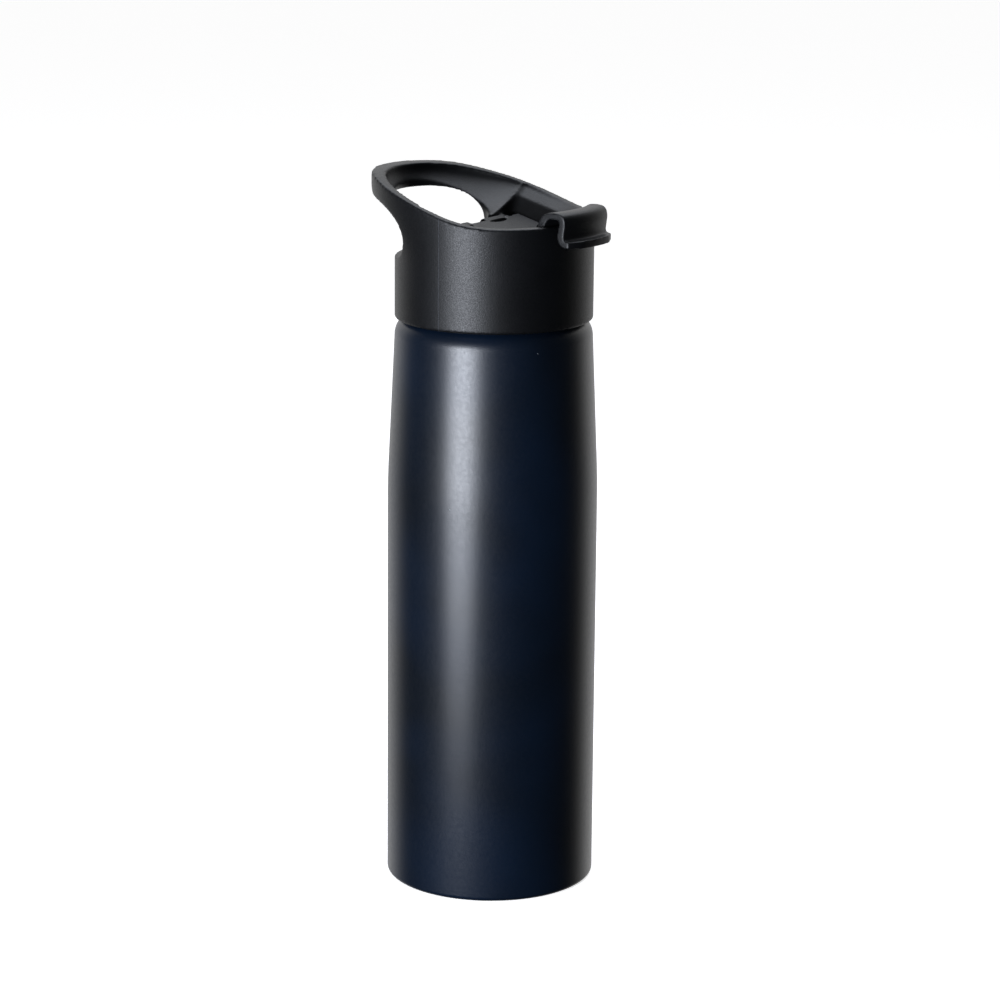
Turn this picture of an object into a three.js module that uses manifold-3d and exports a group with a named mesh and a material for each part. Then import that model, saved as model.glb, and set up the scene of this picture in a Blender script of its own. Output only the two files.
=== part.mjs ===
// Vacuum flask with a screw lid, a carry loop and a hinged flip cap. Millimetres, +Z up.
// The origin is the centre of the foot ring; +X points to the thumb hook, the loop reaches to -X.
import * as THREE from "three";
import { mergeVertices } from "three/addons/utils/BufferGeometryUtils.js";
import Module from "manifold-3d";

const wasm = await Module();
wasm.setup();

// ---------------------------------------------------------------- driving dimensions
const GAP = 0.3; // left between pieces that touch on the real flask
const SHELL_FACETS = 56;
const INNER_FACETS = 40;
const SMALL_FACETS = 20;
const REACH = 80; // half length of a cut that has to pass right through the lid

// Bottle
const BODY_RADIUS = 36.6;
const TAPER_INSET = 2.3; // how much narrower the shoulder is than the body
const TAPER_START = 143.5;
const TAPER_BLEND = 6.5; // half height of the soft bend where the taper starts
const SHOULDER_START = 194.8;
const SHOULDER_ROUND = 7;
const STEEL_WALL = 0.6;
const VACUUM_GAP = 2.6;
const FOOT_ROUND = 1.8;
const FOOT_WIDTH = 1.6; // flat of the foot ring
const BASE_PLATE_HEIGHT = 1.9;
const BASE_FLANGE = 5.1;
const LINER_FLOOR = 8.5;
const LINER_CORNER = 9;
const FOIL_WALL = 0.3;
const FOIL_MARGIN = 9; // foil ends this far from the liner's corner and from the taper

// Neck and thread
const NECK_INSET = 5.7; // neck radius below the shoulder radius
const NECK_HEIGHT = 20.7; // from the start of the shoulder to the mouth
const THREAD_STARTS = 3;
const THREAD_LEAD = 12;
const THREAD_SPAN = 110; // degrees of each ridge
const THREAD_DEPTH = 1.3;
const THREAD_ROOT_WIDTH = 1.9;
const THREAD_CREST_WIDTH = 1.0;
const THREAD_RISE = 11.2; // start of the neck's ridges above the start of the shoulder

// Vacuum seal and getter
const PORT_RADIUS = 0.8;
const BEAD_RADIUS = 2.2;
const BEAD_STEM = 0.5;
const GETTER_RADIUS = 3.2;
const GETTER_HEIGHT = 1.8;
const GETTER_OFFSET = 12;

// Lid shell
const SKIRT_GAP = 6.1; // skirt edge above the start of the shoulder
const SKIRT_WALL = 2.3;
const LEDGE_HEIGHT = 21.1; // ledge under the loop, above the skirt edge
const RIM_HEIGHT = 35.9; // front rim above the skirt edge
const RIM_FLAT_FROM = 22; // the rim is level in front of this X
const RIM_SLOPE = 0.25; // rise of the rim towards the back, behind the axis
const LOOP_OVERHANG = 11.5; // loop's back beyond the collar
const LOOP_ROUND = 16; // length over which the rim levels out at the back
const LOOP_BAND = 7.4; // height of the loop's back
const LOOP_LAND = 5.4; // width of the loop's flat top at the back
const RIM_LAND = 2.8; // the same at the sides and round the front rim
const NOTCH_FRONT = 16.5; // the finger notch reaches this close to the axis
const HOLE_CENTRE = 20; // widest place of the finger hole, behind the axis
const HOLE_SIDE = 17.1; // from the collar's side to the hole
const HOLE_BACK = 7.3; // from the loop's back to the hole
const HOLE_FRONT_REACH = 12; // the hole's front end would be this far ahead of its centre
const FUNNEL_FRONT_DEPTH = 8.6; // hole's edge below the rim, at the bulkhead
const FUNNEL_BACK_DEPTH = 3.3; // the same at the back of the loop
const BULKHEAD_WALL = 2.1; // between the cap's recess and the finger hole
const BULKHEAD_GATE = 12.3; // half width of the bulkhead's low middle

// Recess for the flip cap
const RECESS_INSET = 10.6; // recess wall inside the collar's outer radius
const CORING_WALL = 2.3; // thickness of the recess wall
const RECESS_DRAFT = 3.4; // how much wider the recess is at the top of its wall
const FLAP_DROP = 8; // cap's top below the rim
const BAND_DROP = 3; // top of the recess wall below the rim

// Lid core
const CORE_WALL = 1.4;
const DECK_WALL = 2;
const CORE_SKIRT = 18.1; // length of the threaded wall
const GASKET_HEIGHT = 1.7;
const PLUG_RING_WALL = 1.1;
const PLUG_RING_DEPTH = 3;
const SPOUT_PLACE = 0.475; // distance of the spout from the axis, as a share of the recess radius
const SPOUT_BORE = 6.6;
const SPOUT_WALL = 2;
const SPOUT_HEIGHT = 3.4;
const VENT_X = -2;
const VENT_BORE = 1;
const VENT_WALL = 1.6;
const VENT_HEIGHT = 5.6;

// Flip cap
const FLAP_WALL = 2.2;
const FLAP_CLEARANCE = 0.5;
const FLAP_BACK = 6.9; // back edge behind the axis
const HINGE_X = -8;
const HINGE_DROP = 1.7; // hinge axis below the cap's top at the hinge
const BARREL_RADIUS = 1.7;
const BARREL_INNER = 4.3;
const BARREL_OUTER = 15.2;
const PIN_RADIUS = 0.95;
const PIN_CLEARANCE = 0.1;
const PIN_LENGTH = 13.2;
const LUG_RADIUS = 1.2;
const LUG_WIDTH = 3.6;
const RELIEF_LENGTH = 1.8; // moulding relief in the flap, in front of each barrel
const RELIEF_DEPTH = 1.2;
const HOOK_HALF_WIDTH = 12.9;
const HOOK_WALL = 2.4;
const HOOK_RIM_GAP = 2.8; // between the collar and the hook's outer leg
const HOOK_ARCH_GAP = 2.3; // between the rim and the inside of the arch
const HOOK_LEG = 6.5; // from the rim down to the start of the lip
const HOOK_LIP = 4; // how far the lip flares out
const HOOK_PLAN_RADIUS = 22.3; // the lip is rounded off to this radius, seen from above
const PLUG_FLANGE = 1.1;
const PLUG_STEM = 2.2;
const PLUG_TAPER = 0.5; // the stem narrows this much per millimetre, to clear the spout as the cap swings

// ---------------------------------------------------------------- derived places
const SHOULDER_RADIUS = BODY_RADIUS - TAPER_INSET;
const NECK_RADIUS = SHOULDER_RADIUS - NECK_INSET;
const MOUTH = SHOULDER_START + NECK_HEIGHT;
const SKIRT_EDGE = SHOULDER_START + SKIRT_GAP;
const LID_RADIUS = SHOULDER_RADIUS;
const LEDGE = SKIRT_EDGE + LEDGE_HEIGHT;
const RIM_FRONT = SKIRT_EDGE + RIM_HEIGHT;
const LOOP_BACK = LID_RADIUS + LOOP_OVERHANG;
const DECK_UNDERSIDE = MOUTH + GASKET_HEIGHT + 2 * GAP;
const DECK_TOP = DECK_UNDERSIDE + DECK_WALL;
const CORE_RADIUS = LID_RADIUS - SKIRT_WALL - GAP;
const CORE_BORE = CORE_RADIUS - CORE_WALL;
const RECESS_RADIUS = LID_RADIUS - RECESS_INSET;
const FLAP_RADIUS = RECESS_RADIUS - FLAP_CLEARANCE;
const SPOUT_X = SPOUT_PLACE * RECESS_RADIUS;
const LINER_RADIUS = BODY_RADIUS - STEEL_WALL - VACUUM_GAP;
const LINER_NECK_RADIUS = NECK_RADIUS - STEEL_WALL - 0.5;
const FOOT_INNER = BODY_RADIUS - FOOT_ROUND - FOOT_WIDTH;
const PLUG_RING_RADIUS = LINER_NECK_RADIUS - STEEL_WALL - 0.6;

// Height of the rim over the X axis: level in front, a parabola, a straight rise and a level end.
function rimHeight(x) {
  const bend = Math.max(0, RIM_FLAT_FROM - Math.max(x, 0));
  const parabola = (RIM_SLOPE * bend * bend) / (2 * RIM_FLAT_FROM);
  const rise = RIM_SLOPE * Math.max(0, -x);
  const levelFrom = LOOP_BACK - LOOP_ROUND;
  const level = Math.max(0, -x - levelFrom);
  return RIM_FRONT + parabola + rise - (RIM_SLOPE * level * level) / (2 * LOOP_ROUND);
}

const LOOP_TOP = rimHeight(-LOOP_BACK);
const HINGE_Z = rimHeight(HINGE_X) - FLAP_DROP - HINGE_DROP;
const RECESS_BACK = HINGE_X - BARREL_RADIUS - FLAP_CLEARANCE;
const HOLE_FRONT = RECESS_BACK - BULKHEAD_WALL;
const HOLE_END = HOLE_BACK - LOOP_BACK;

// ---------------------------------------------------------------- geometry helpers
function solid(geometry) {
  const bare = geometry.clone();
  bare.deleteAttribute("normal");
  bare.deleteAttribute("uv");
  const merged = mergeVertices(bare, 1e-4);
  const vertProperties = new Float32Array(merged.attributes.position.array);
  const triVerts = new Uint32Array(merged.index.array);
  return new wasm.Manifold(new wasm.Mesh({ numProp: 3, vertProperties, triVerts }));
}

function geometryOf(manifold) {
  const mesh = manifold.getMesh();
  const geometry = new THREE.BufferGeometry();
  geometry.setAttribute("position", new THREE.BufferAttribute(mesh.vertProperties, 3));
  geometry.setIndex(new THREE.BufferAttribute(mesh.triVerts, 1));
  geometry.computeVertexNormals();
  return geometry;
}

// A solid of revolution about Z from [radius, height] points, anticlockwise in that plane.
function revolved(points, facets = SHELL_FACETS) {
  const first = points[0];
  const closed = first[0] === 0 ? points : [...points, first];
  const outline = closed.map(([r, z]) => new THREE.Vector2(r, z));
  return new THREE.LatheGeometry(outline, facets).rotateX(Math.PI / 2);
}

function disc(radius, bottom, top, facets = SMALL_FACETS) {
  return revolved([[0, bottom], [radius, bottom], [radius, top], [0, top]], facets);
}

function shapeOf(points) {
  return new THREE.Shape(points.map(([u, v]) => new THREE.Vector2(u, v)));
}

// An outline in X and Z, extruded from -halfWidth to +halfWidth in Y.
function acrossY(shape, halfWidth, steps = 1) {
  const options = { depth: 2 * halfWidth, steps, bevelEnabled: false, curveSegments: 10 };
  return new THREE.ExtrudeGeometry(shape, options).rotateX(Math.PI / 2).translate(0, halfWidth, 0);
}

// An outline in Y and Z, extruded from x0 to x1.
function alongX(shape, x0, x1, steps = 1) {
  const options = { depth: x1 - x0, steps, bevelEnabled: false };
  const geometry = new THREE.ExtrudeGeometry(shape, options).rotateX(Math.PI / 2);
  return geometry.rotateZ(Math.PI / 2).translate(x0, 0, 0);
}

function block(x0, x1, y0, y1, z0, z1) {
  const geometry = new THREE.BoxGeometry(x1 - x0, y1 - y0, z1 - z0);
  return geometry.translate((x0 + x1) / 2, (y0 + y1) / 2, (z0 + z1) / 2);
}

// A round bar along Y.
function barAlongY(radius, x, z, y0, y1, facets = SMALL_FACETS) {
  const geometry = new THREE.CylinderGeometry(radius, radius, y1 - y0, facets);
  return geometry.translate(x, (y0 + y1) / 2, z);
}

function moveVertices(geometry, move) {
  const position = geometry.attributes.position;
  const point = new THREE.Vector3();
  for (let i = 0; i < position.count; i += 1) {
    point.fromBufferAttribute(position, i);
    move(point);
    position.setXYZ(i, point.x, point.y, point.z);
  }
  return geometry;
}

function arcPoints(centreR, centreZ, radius, from, to, steps) {
  return Array.from({ length: steps + 1 }, (_, i) => {
    const angle = THREE.MathUtils.degToRad(from + ((to - from) * i) / steps);
    return [centreR + radius * Math.cos(angle), centreZ + radius * Math.sin(angle)];
  });
}

// A thread ridge: a section in radius and height, swept up a helix.
function ridge(section, startAngle, startHeight) {
  const steps = 14;
  const options = { depth: 1, steps, bevelEnabled: false };
  const geometry = new THREE.ExtrudeGeometry(shapeOf(section), options);
  return moveVertices(geometry, (point) => {
    const turn = THREE.MathUtils.degToRad(THREAD_SPAN) * (1 - point.z);
    const angle = startAngle + turn;
    const height = point.y + startHeight + (THREAD_LEAD * turn) / (2 * Math.PI);
    point.set(point.x * Math.cos(angle), point.x * Math.sin(angle), height);
  });
}

function withRidges(base, section, startHeight) {
  let result = base;
  for (let i = 0; i < THREAD_STARTS; i += 1) {
    const startAngle = (i * 2 * Math.PI) / THREAD_STARTS;
    result = result.add(solid(ridge(section, startAngle, startHeight)));
  }
  return result;
}

// ---------------------------------------------------------------- bottle
// The body's wall from a height upwards, moved in by an inset, to a neck of the given radius.
function wallUpwards(inset, fromHeight, neckRadius, neckTop) {
  const bodyRadius = BODY_RADIUS - inset;
  const slope = TAPER_INSET / (SHOULDER_START - TAPER_START);
  const blend = [-1, -0.33, 0.33, 1].map((t) => {
    const drop = (slope * TAPER_BLEND * (t + 1) ** 2) / 4;
    return [bodyRadius - drop, TAPER_START + t * TAPER_BLEND];
  });
  const centreR = SHOULDER_RADIUS - SHOULDER_ROUND;
  const round = SHOULDER_ROUND - inset;
  const end = THREE.MathUtils.radToDeg(Math.acos((neckRadius - centreR) / round));
  const shoulder = arcPoints(centreR, SHOULDER_START, round, 0, end, 5);
  return [[bodyRadius, fromHeight], ...blend, ...shoulder, [neckRadius, neckTop]];
}

function outerShell() {
  const footCentre = BODY_RADIUS - FOOT_ROUND;
  const neckTop = MOUTH - STEEL_WALL - GAP;
  const innerFoot = FOOT_ROUND - STEEL_WALL;
  const outside = [
    [FOOT_INNER, 0],
    ...arcPoints(footCentre, FOOT_ROUND, FOOT_ROUND, -90, -22.5, 3),
    ...wallUpwards(0, FOOT_ROUND, NECK_RADIUS, neckTop),
  ];
  const inside = [
    [FOOT_INNER, STEEL_WALL],
    ...arcPoints(footCentre, FOOT_ROUND, innerFoot, -90, -22.5, 3),
    ...wallUpwards(STEEL_WALL, FOOT_ROUND, NECK_RADIUS - STEEL_WALL, neckTop),
  ];
  const root = NECK_RADIUS - STEEL_WALL / 2;
  const crest = NECK_RADIUS + THREAD_DEPTH;
  const section = [
    [root, -THREAD_ROOT_WIDTH / 2],
    [crest, -THREAD_CREST_WIDTH / 2],
    [crest, THREAD_CREST_WIDTH / 2],
    [root, THREAD_ROOT_WIDTH / 2],
  ];
  const shell = solid(revolved([...outside, ...inside.reverse()]));
  return withRidges(shell, section, SHOULDER_START + THREAD_RISE);
}

function innerFlask() {
  const cornerR = LINER_RADIUS - LINER_CORNER;
  const cornerZ = LINER_FLOOR + LINER_CORNER;
  const inset = STEEL_WALL + VACUUM_GAP;
  const bore = LINER_NECK_RADIUS - STEEL_WALL;
  const lipUnderside = MOUTH - STEEL_WALL;
  const outside = [
    [0, LINER_FLOOR],
    ...arcPoints(cornerR, cornerZ, LINER_CORNER, -90, -15, 5),
    ...wallUpwards(inset, cornerZ, LINER_NECK_RADIUS, lipUnderside),
    [NECK_RADIUS, lipUnderside],
    [NECK_RADIUS, MOUTH],
  ];
  const inside = [
    [0, LINER_FLOOR + STEEL_WALL],
    ...arcPoints(cornerR, cornerZ, LINER_CORNER - STEEL_WALL, -90, -15, 5),
    ...wallUpwards(inset + STEEL_WALL, cornerZ, bore, MOUTH),
  ];
  return solid(revolved([...outside, ...inside.reverse()], INNER_FACETS));
}

function foilShield() {
  const inner = LINER_RADIUS + GAP;
  const bottom = LINER_FLOOR + LINER_CORNER + FOIL_MARGIN;
  const top = TAPER_START - FOIL_MARGIN;
  const outline = [
    [inner, bottom],
    [inner + FOIL_WALL, bottom],
    [inner + FOIL_WALL, top],
    [inner, top],
  ];
  return solid(revolved(outline, INNER_FACETS));
}

function basePlate() {
  const outer = BODY_RADIUS - STEEL_WALL - GAP;
  const inner = outer - STEEL_WALL;
  const top = BASE_PLATE_HEIGHT + STEEL_WALL;
  const outline = [
    [PORT_RADIUS, BASE_PLATE_HEIGHT],
    [outer, BASE_PLATE_HEIGHT],
    [outer, BASE_PLATE_HEIGHT + BASE_FLANGE],
    [inner, BASE_PLATE_HEIGHT + BASE_FLANGE],
    [inner, top],
    [PORT_RADIUS, top],
  ];
  return solid(revolved(outline, INNER_FACETS));
}

function baseCover() {
  return solid(disc(FOOT_INNER - GAP, GAP, GAP + STEEL_WALL, INNER_FACETS));
}

function sealBead() {
  const top = BASE_PLATE_HEIGHT - GAP;
  const bottom = GAP + STEEL_WALL + GAP;
  const outline = [
    [0, bottom],
    [BEAD_RADIUS, bottom],
    [BEAD_RADIUS, top],
    [BEAD_STEM, top],
    [BEAD_STEM, BASE_PLATE_HEIGHT + STEEL_WALL],
    [0, BASE_PLATE_HEIGHT + STEEL_WALL],
  ];
  return solid(revolved(outline, SMALL_FACETS));
}

const GETTER_SEAT = BASE_PLATE_HEIGHT + STEEL_WALL + GAP;
const HOLDER_WALL = 0.4;

function getterHolder() {
  const inner = GETTER_RADIUS + GAP;
  const floor = GETTER_SEAT + HOLDER_WALL;
  const outline = [
    [0, GETTER_SEAT],
    [inner + HOLDER_WALL, GETTER_SEAT],
    [inner + HOLDER_WALL, floor + GETTER_HEIGHT],
    [inner, floor + GETTER_HEIGHT],
    [inner, floor],
    [0, floor],
  ];
  return solid(revolved(outline, SMALL_FACETS).translate(GETTER_OFFSET, 0, 0));
}

function getterPellet() {
  const bottom = GETTER_SEAT + HOLDER_WALL + GAP;
  return solid(disc(GETTER_RADIUS, bottom, bottom + GETTER_HEIGHT).translate(GETTER_OFFSET, 0, 0));
}

// ---------------------------------------------------------------- lid
// Draws the back half of a round form out towards -X, more the higher it is above the ledge.
function drawBack(geometry, radius, reachAt) {
  return moveVertices(geometry, (point) => {
    if (point.x < 0) point.x *= reachAt(point.z) / radius;
  });
}

function loopShare(height) {
  return THREE.MathUtils.smoothstep(height, LEDGE, LOOP_TOP - LOOP_BAND / 2);
}

function outsideForm() {
  const top = LOOP_TOP + 4;
  const rings = Array.from({ length: 9 }, (_, i) => [LID_RADIUS, LEDGE + ((top - LEDGE) * i) / 8]);
  const outline = [[0, SKIRT_EDGE], [LID_RADIUS, SKIRT_EDGE], ...rings, [0, top]];
  return drawBack(revolved(outline), LID_RADIUS, (z) => LID_RADIUS + LOOP_OVERHANG * loopShare(z));
}

// Distance from the hole's centre to its edge, along a direction in plan.
function holeReach(ux, uy) {
  const along = ux > 0 ? HOLE_FRONT_REACH : -HOLE_END - HOLE_CENTRE;
  const across = LID_RADIUS - HOLE_SIDE;
  return 1 / Math.hypot(ux / along, uy / across);
}

// Distance from the hole's centre to the inner edge of the rim's land, along a direction in plan.
function landReach(ux, uy) {
  const across = LID_RADIUS - RIM_LAND;
  const crossing = (along) => {
    const a = (ux / along) ** 2 + (uy / across) ** 2;
    const b = (-2 * HOLE_CENTRE * ux) / along ** 2;
    const c = (HOLE_CENTRE / along) ** 2 - 1;
    return (-b + Math.sqrt(b * b - 4 * a * c)) / (2 * a);
  };
  const behind = crossing(LOOP_BACK - LOOP_LAND);
  return behind * ux < HOLE_CENTRE ? behind : crossing(across);
}

function fingerHole() {
  const top = LOOP_TOP + 4;
  const unit = revolved([[0, LEDGE], [1, LEDGE], [1, top], [0, top]]);
  const geometry = moveVertices(unit, (point) => {
    const reach = holeReach(point.x, point.y);
    point.set(point.x * reach - HOLE_CENTRE, point.y * reach, point.z);
  });
  return solid(geometry).intersect(solid(block(-REACH, HOLE_FRONT, -REACH, REACH, LEDGE, top)));
}

const edgeDepth = (x) => {
  return THREE.MathUtils.mapLinear(x, HOLE_FRONT, HOLE_END, FUNNEL_FRONT_DEPTH, FUNNEL_BACK_DEPTH);
};

// The dished surface that runs from the rim's land down to the edge of the finger hole.
function funnel() {
  const steps = 4;
  const rings = Array.from({ length: steps + 1 }, (_, i) => [1 + i / steps, i / steps]);
  const unit = revolved([[0, 0], ...rings, [2, 2], [0, 2]]);
  const geometry = moveVertices(unit, (point) => {
    const radius = Math.hypot(point.x, point.y);
    const ux = radius > 0 ? point.x / radius : 1;
    const uy = radius > 0 ? point.y / radius : 0;
    const edge = holeReach(ux, uy);
    const land = landReach(ux, uy);
    const edgeX = edge * ux - HOLE_CENTRE;
    const edgeZ = rimHeight(edgeX) - edgeDepth(edgeX);
    const landZ = rimHeight(land * ux - HOLE_CENTRE);
    const share = THREE.MathUtils.clamp(radius - 1, 0, 1);
    const reach = radius > 1 ? THREE.MathUtils.lerp(edge, land, share) : edge * radius;
    const above = point.z > 1 ? 10 : 0;
    const height = THREE.MathUtils.lerp(edgeZ, landZ, share) + above;
    point.set(reach * ux - HOLE_CENTRE, reach * uy, above > 0 ? LOOP_TOP + above : height);
  });
  const front = RECESS_BACK + 0.05;
  return solid(geometry).intersect(solid(block(-REACH, front, -REACH, REACH, LEDGE, LOOP_TOP + 5)));
}

// Everything under the rim, as an outline in X and Z.
function underRim() {
  const steps = 24;
  const front = LID_RADIUS + 5;
  const back = -LOOP_BACK - 5;
  const curve = Array.from({ length: steps + 1 }, (_, i) => {
    const x = front + ((back - front) * i) / steps;
    return [x, rimHeight(x)];
  });
  return solid(acrossY(shapeOf([[back, SKIRT_EDGE - 1], [front, SKIRT_EDGE - 1], ...curve]), REACH));
}

// The notch through both sides and out of the back, under the loop.
function fingerNotch() {
  const underside = LOOP_TOP - LOOP_BAND;
  const middle = LEDGE + 7.8;
  const shape = new THREE.Shape();
  shape.moveTo(-REACH, LEDGE);
  shape.lineTo(-NOTCH_FRONT - 9.5, LEDGE);
  shape.bezierCurveTo(-NOTCH_FRONT - 3.5, LEDGE, -NOTCH_FRONT, middle - 3.8, -NOTCH_FRONT, middle);
  shape.bezierCurveTo(
    -NOTCH_FRONT, middle + 5.7, -NOTCH_FRONT - 8.5, underside, -NOTCH_FRONT - 21.5, underside,
  );
  shape.lineTo(-REACH, underside);
  return solid(acrossY(shape, REACH));
}

// Lifts a form drawn against a level rim so that it follows the real one.
function followRim(geometry) {
  return moveVertices(geometry, (point) => {
    point.z += rimHeight(point.x) - RIM_FRONT;
  });
}

// The cap's recess: a straight well down to the deck, and a drafted mouth that follows the rim.
function recess() {
  const mouthOutline = [
    [RECESS_RADIUS, RIM_FRONT - FLAP_DROP - 0.5],
    [RECESS_RADIUS + RECESS_DRAFT, RIM_FRONT - BAND_DROP],
    [LID_RADIUS - RIM_LAND, RIM_FRONT],
    [LID_RADIUS - RIM_LAND, RIM_FRONT + 5],
  ];
  const bottom = mouthOutline[0][1];
  const top = RIM_FRONT + 5;
  const round = solid(followRim(revolved([[0, bottom], ...mouthOutline, [0, top]])));
  const frontHalf = round.intersect(solid(block(0, REACH, -REACH, REACH, 0, 2 * top)));
  const mirrored = mouthOutline.map(([y, z]) => [-y, z]).reverse();
  const backGeometry = alongX(shapeOf([...mouthOutline, ...mirrored]), RECESS_BACK, 0.01, 6);
  const well = solid(disc(RECESS_RADIUS, DECK_TOP - 1, RIM_FRONT - 2, SHELL_FACETS));
  const wellFront = well.intersect(solid(block(0, REACH, -REACH, REACH, 0, top)));
  const wellTop = rimHeight(RECESS_BACK) - FLAP_DROP;
  const wellBack = block(RECESS_BACK, 0.01, -RECESS_RADIUS, RECESS_RADIUS, DECK_TOP - 1, wellTop);
  return frontHalf.add(solid(followRim(backGeometry))).add(wellFront).add(solid(wellBack));
}

// The bulkhead's middle is kept below the flap's back edge.
function bulkheadGate() {
  const low = HINGE_Z - BARREL_RADIUS;
  const y = BULKHEAD_GATE;
  return solid(block(HOLE_FRONT - 0.1, RECESS_BACK + 0.1, -y, y, low, LOOP_TOP));
}

const SLOT_FLOOR = RIM_FRONT - FLAP_DROP - 1.3;

// Lets the hook's inner leg pass through the sloping band.
function hookSlot() {
  const side = HOOK_HALF_WIDTH + 0.7;
  const outer = LID_RADIUS - RIM_LAND + 1;
  const ring = solid(disc(outer, SLOT_FLOOR, RIM_FRONT + 5, SHELL_FACETS));
  return ring.intersect(solid(block(0, REACH, -side, side, SLOT_FLOOR, RIM_FRONT + 5)));
}

// The moulding is cored from below between its outside and the recess wall.
function coredRing() {
  const inner = RECESS_RADIUS + CORING_WALL;
  const outer = LID_RADIUS - SKIRT_WALL;
  const bottom = DECK_TOP;
  const top = SLOT_FLOOR - 1.5;
  const outline = [[inner, bottom], [outer, bottom], [outer, top], [inner, top]];
  const front = block(HINGE_X + CORING_WALL, REACH, -REACH, REACH, bottom, top);
  return solid(revolved(outline)).intersect(solid(front));
}

// A stretch in Y from inner to outer, mirrored for the other side.
function onSide(side, inner, outer) {
  return side > 0 ? [inner, outer] : [-outer, -inner];
}

const LUG_INNER = BARREL_OUTER + 0.4;

function hingeLug(side) {
  const [y0, y1] = onSide(side, LUG_INNER, LUG_INNER + LUG_WIDTH);
  const arm = block(RECESS_BACK - 0.5, HINGE_X, y0, y1, HINGE_Z - LUG_RADIUS, HINGE_Z + LUG_RADIUS);
  return solid(barAlongY(LUG_RADIUS, HINGE_X, HINGE_Z, y0, y1)).add(solid(arm));
}

function pinHole() {
  const radius = PIN_RADIUS + PIN_CLEARANCE;
  const end = BARREL_INNER + PIN_LENGTH + 0.8;
  return solid(barAlongY(radius, HINGE_X, HINGE_Z, -end, end));
}

function lidShell() {
  const socket = disc(LID_RADIUS - SKIRT_WALL, SKIRT_EDGE - 1, DECK_TOP + GAP, SHELL_FACETS);
  const loopCuts = [fingerNotch(), fingerHole(), funnel(), bulkheadGate()];
  const capCuts = [recess(), hookSlot(), solid(socket), coredRing()];
  let shell = solid(outsideForm()).intersect(underRim());
  for (const cut of [...loopCuts, ...capCuts]) shell = shell.subtract(cut);
  return shell.add(hingeLug(1)).add(hingeLug(-1)).subtract(pinHole());
}

function lidCore() {
  const ringOuter = PLUG_RING_RADIUS;
  const ringInner = ringOuter - PLUG_RING_WALL;
  const ringBottom = MOUTH - PLUG_RING_DEPTH;
  const skirtBottom = DECK_TOP - CORE_SKIRT;
  const outline = [
    [0, DECK_UNDERSIDE],
    [ringInner, DECK_UNDERSIDE],
    [ringInner, ringBottom],
    [ringOuter, ringBottom],
    [ringOuter, DECK_UNDERSIDE],
    [CORE_BORE, DECK_UNDERSIDE],
    [CORE_BORE, skirtBottom],
    [CORE_RADIUS, skirtBottom],
    [CORE_RADIUS, DECK_TOP],
    [0, DECK_TOP],
  ];
  const root = CORE_BORE + CORE_WALL / 2;
  const crest = CORE_BORE - THREAD_DEPTH;
  const section = [
    [root, -THREAD_ROOT_WIDTH / 2],
    [root, THREAD_ROOT_WIDTH / 2],
    [crest, THREAD_CREST_WIDTH / 2],
    [crest, -THREAD_CREST_WIDTH / 2],
  ];
  const ridgePitch = THREAD_LEAD / THREAD_STARTS;
  const start = SHOULDER_START + THREAD_RISE - ridgePitch / 2;
  const body = withRidges(solid(revolved(outline)), section, start);
  const spout = disc(SPOUT_BORE + SPOUT_WALL, DECK_TOP - 1, DECK_TOP + SPOUT_HEIGHT, INNER_FACETS);
  const vent = disc(VENT_BORE + VENT_WALL, DECK_TOP - 1, DECK_TOP + VENT_HEIGHT);
  const spoutBore = disc(SPOUT_BORE, ringBottom, DECK_TOP + SPOUT_HEIGHT + 1, INNER_FACETS);
  const ventBore = disc(VENT_BORE, ringBottom, DECK_TOP + VENT_HEIGHT + 1);
  return body
    .add(solid(spout.translate(SPOUT_X, 0, 0)))
    .add(solid(vent.translate(VENT_X, 0, 0)))
    .subtract(solid(spoutBore.translate(SPOUT_X, 0, 0)))
    .subtract(solid(ventBore.translate(VENT_X, 0, 0)));
}

function lidGasket() {
  const inner = PLUG_RING_RADIUS + GAP;
  const outer = CORE_BORE - GAP;
  const bottom = MOUTH + GAP;
  const top = bottom + GASKET_HEIGHT;
  return solid(revolved([[inner, bottom], [outer, bottom], [outer, top], [inner, top]], INNER_FACETS));
}

function hingePin(side) {
  const inner = BARREL_INNER + 0.5;
  const [y0, y1] = onSide(side, inner, inner + PIN_LENGTH);
  return solid(barAlongY(PIN_RADIUS, HINGE_X, HINGE_Z, y0, y1));
}

// ---------------------------------------------------------------- flip cap
const capTop = (x) => rimHeight(x) - FLAP_DROP;
const SEAT_UNDERSIDE = DECK_TOP + SPOUT_HEIGHT + PLUG_FLANGE + 2 * GAP;
const PLUG_STUD = 2.2;
const STUD_HEIGHT = 1.2;

function capPlate() {
  const steps = 12;
  const xs = Array.from({ length: steps + 1 }, (_, i) => {
    return -FLAP_BACK + ((FLAP_RADIUS + FLAP_BACK) * i) / steps;
  });
  const under = xs.map((x) => [x, capTop(x) - FLAP_WALL]);
  const over = xs.map((x) => [x, capTop(x)]).reverse();
  const plate = solid(acrossY(shapeOf([...under, ...over]), FLAP_RADIUS));
  const round = solid(disc(FLAP_RADIUS, DECK_TOP, RIM_FRONT + 5, SHELL_FACETS));
  const back = block(-REACH, 0, -FLAP_RADIUS, FLAP_RADIUS, DECK_TOP, RIM_FRONT + 5);
  return plate.intersect(round.add(solid(back)));
}

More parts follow.
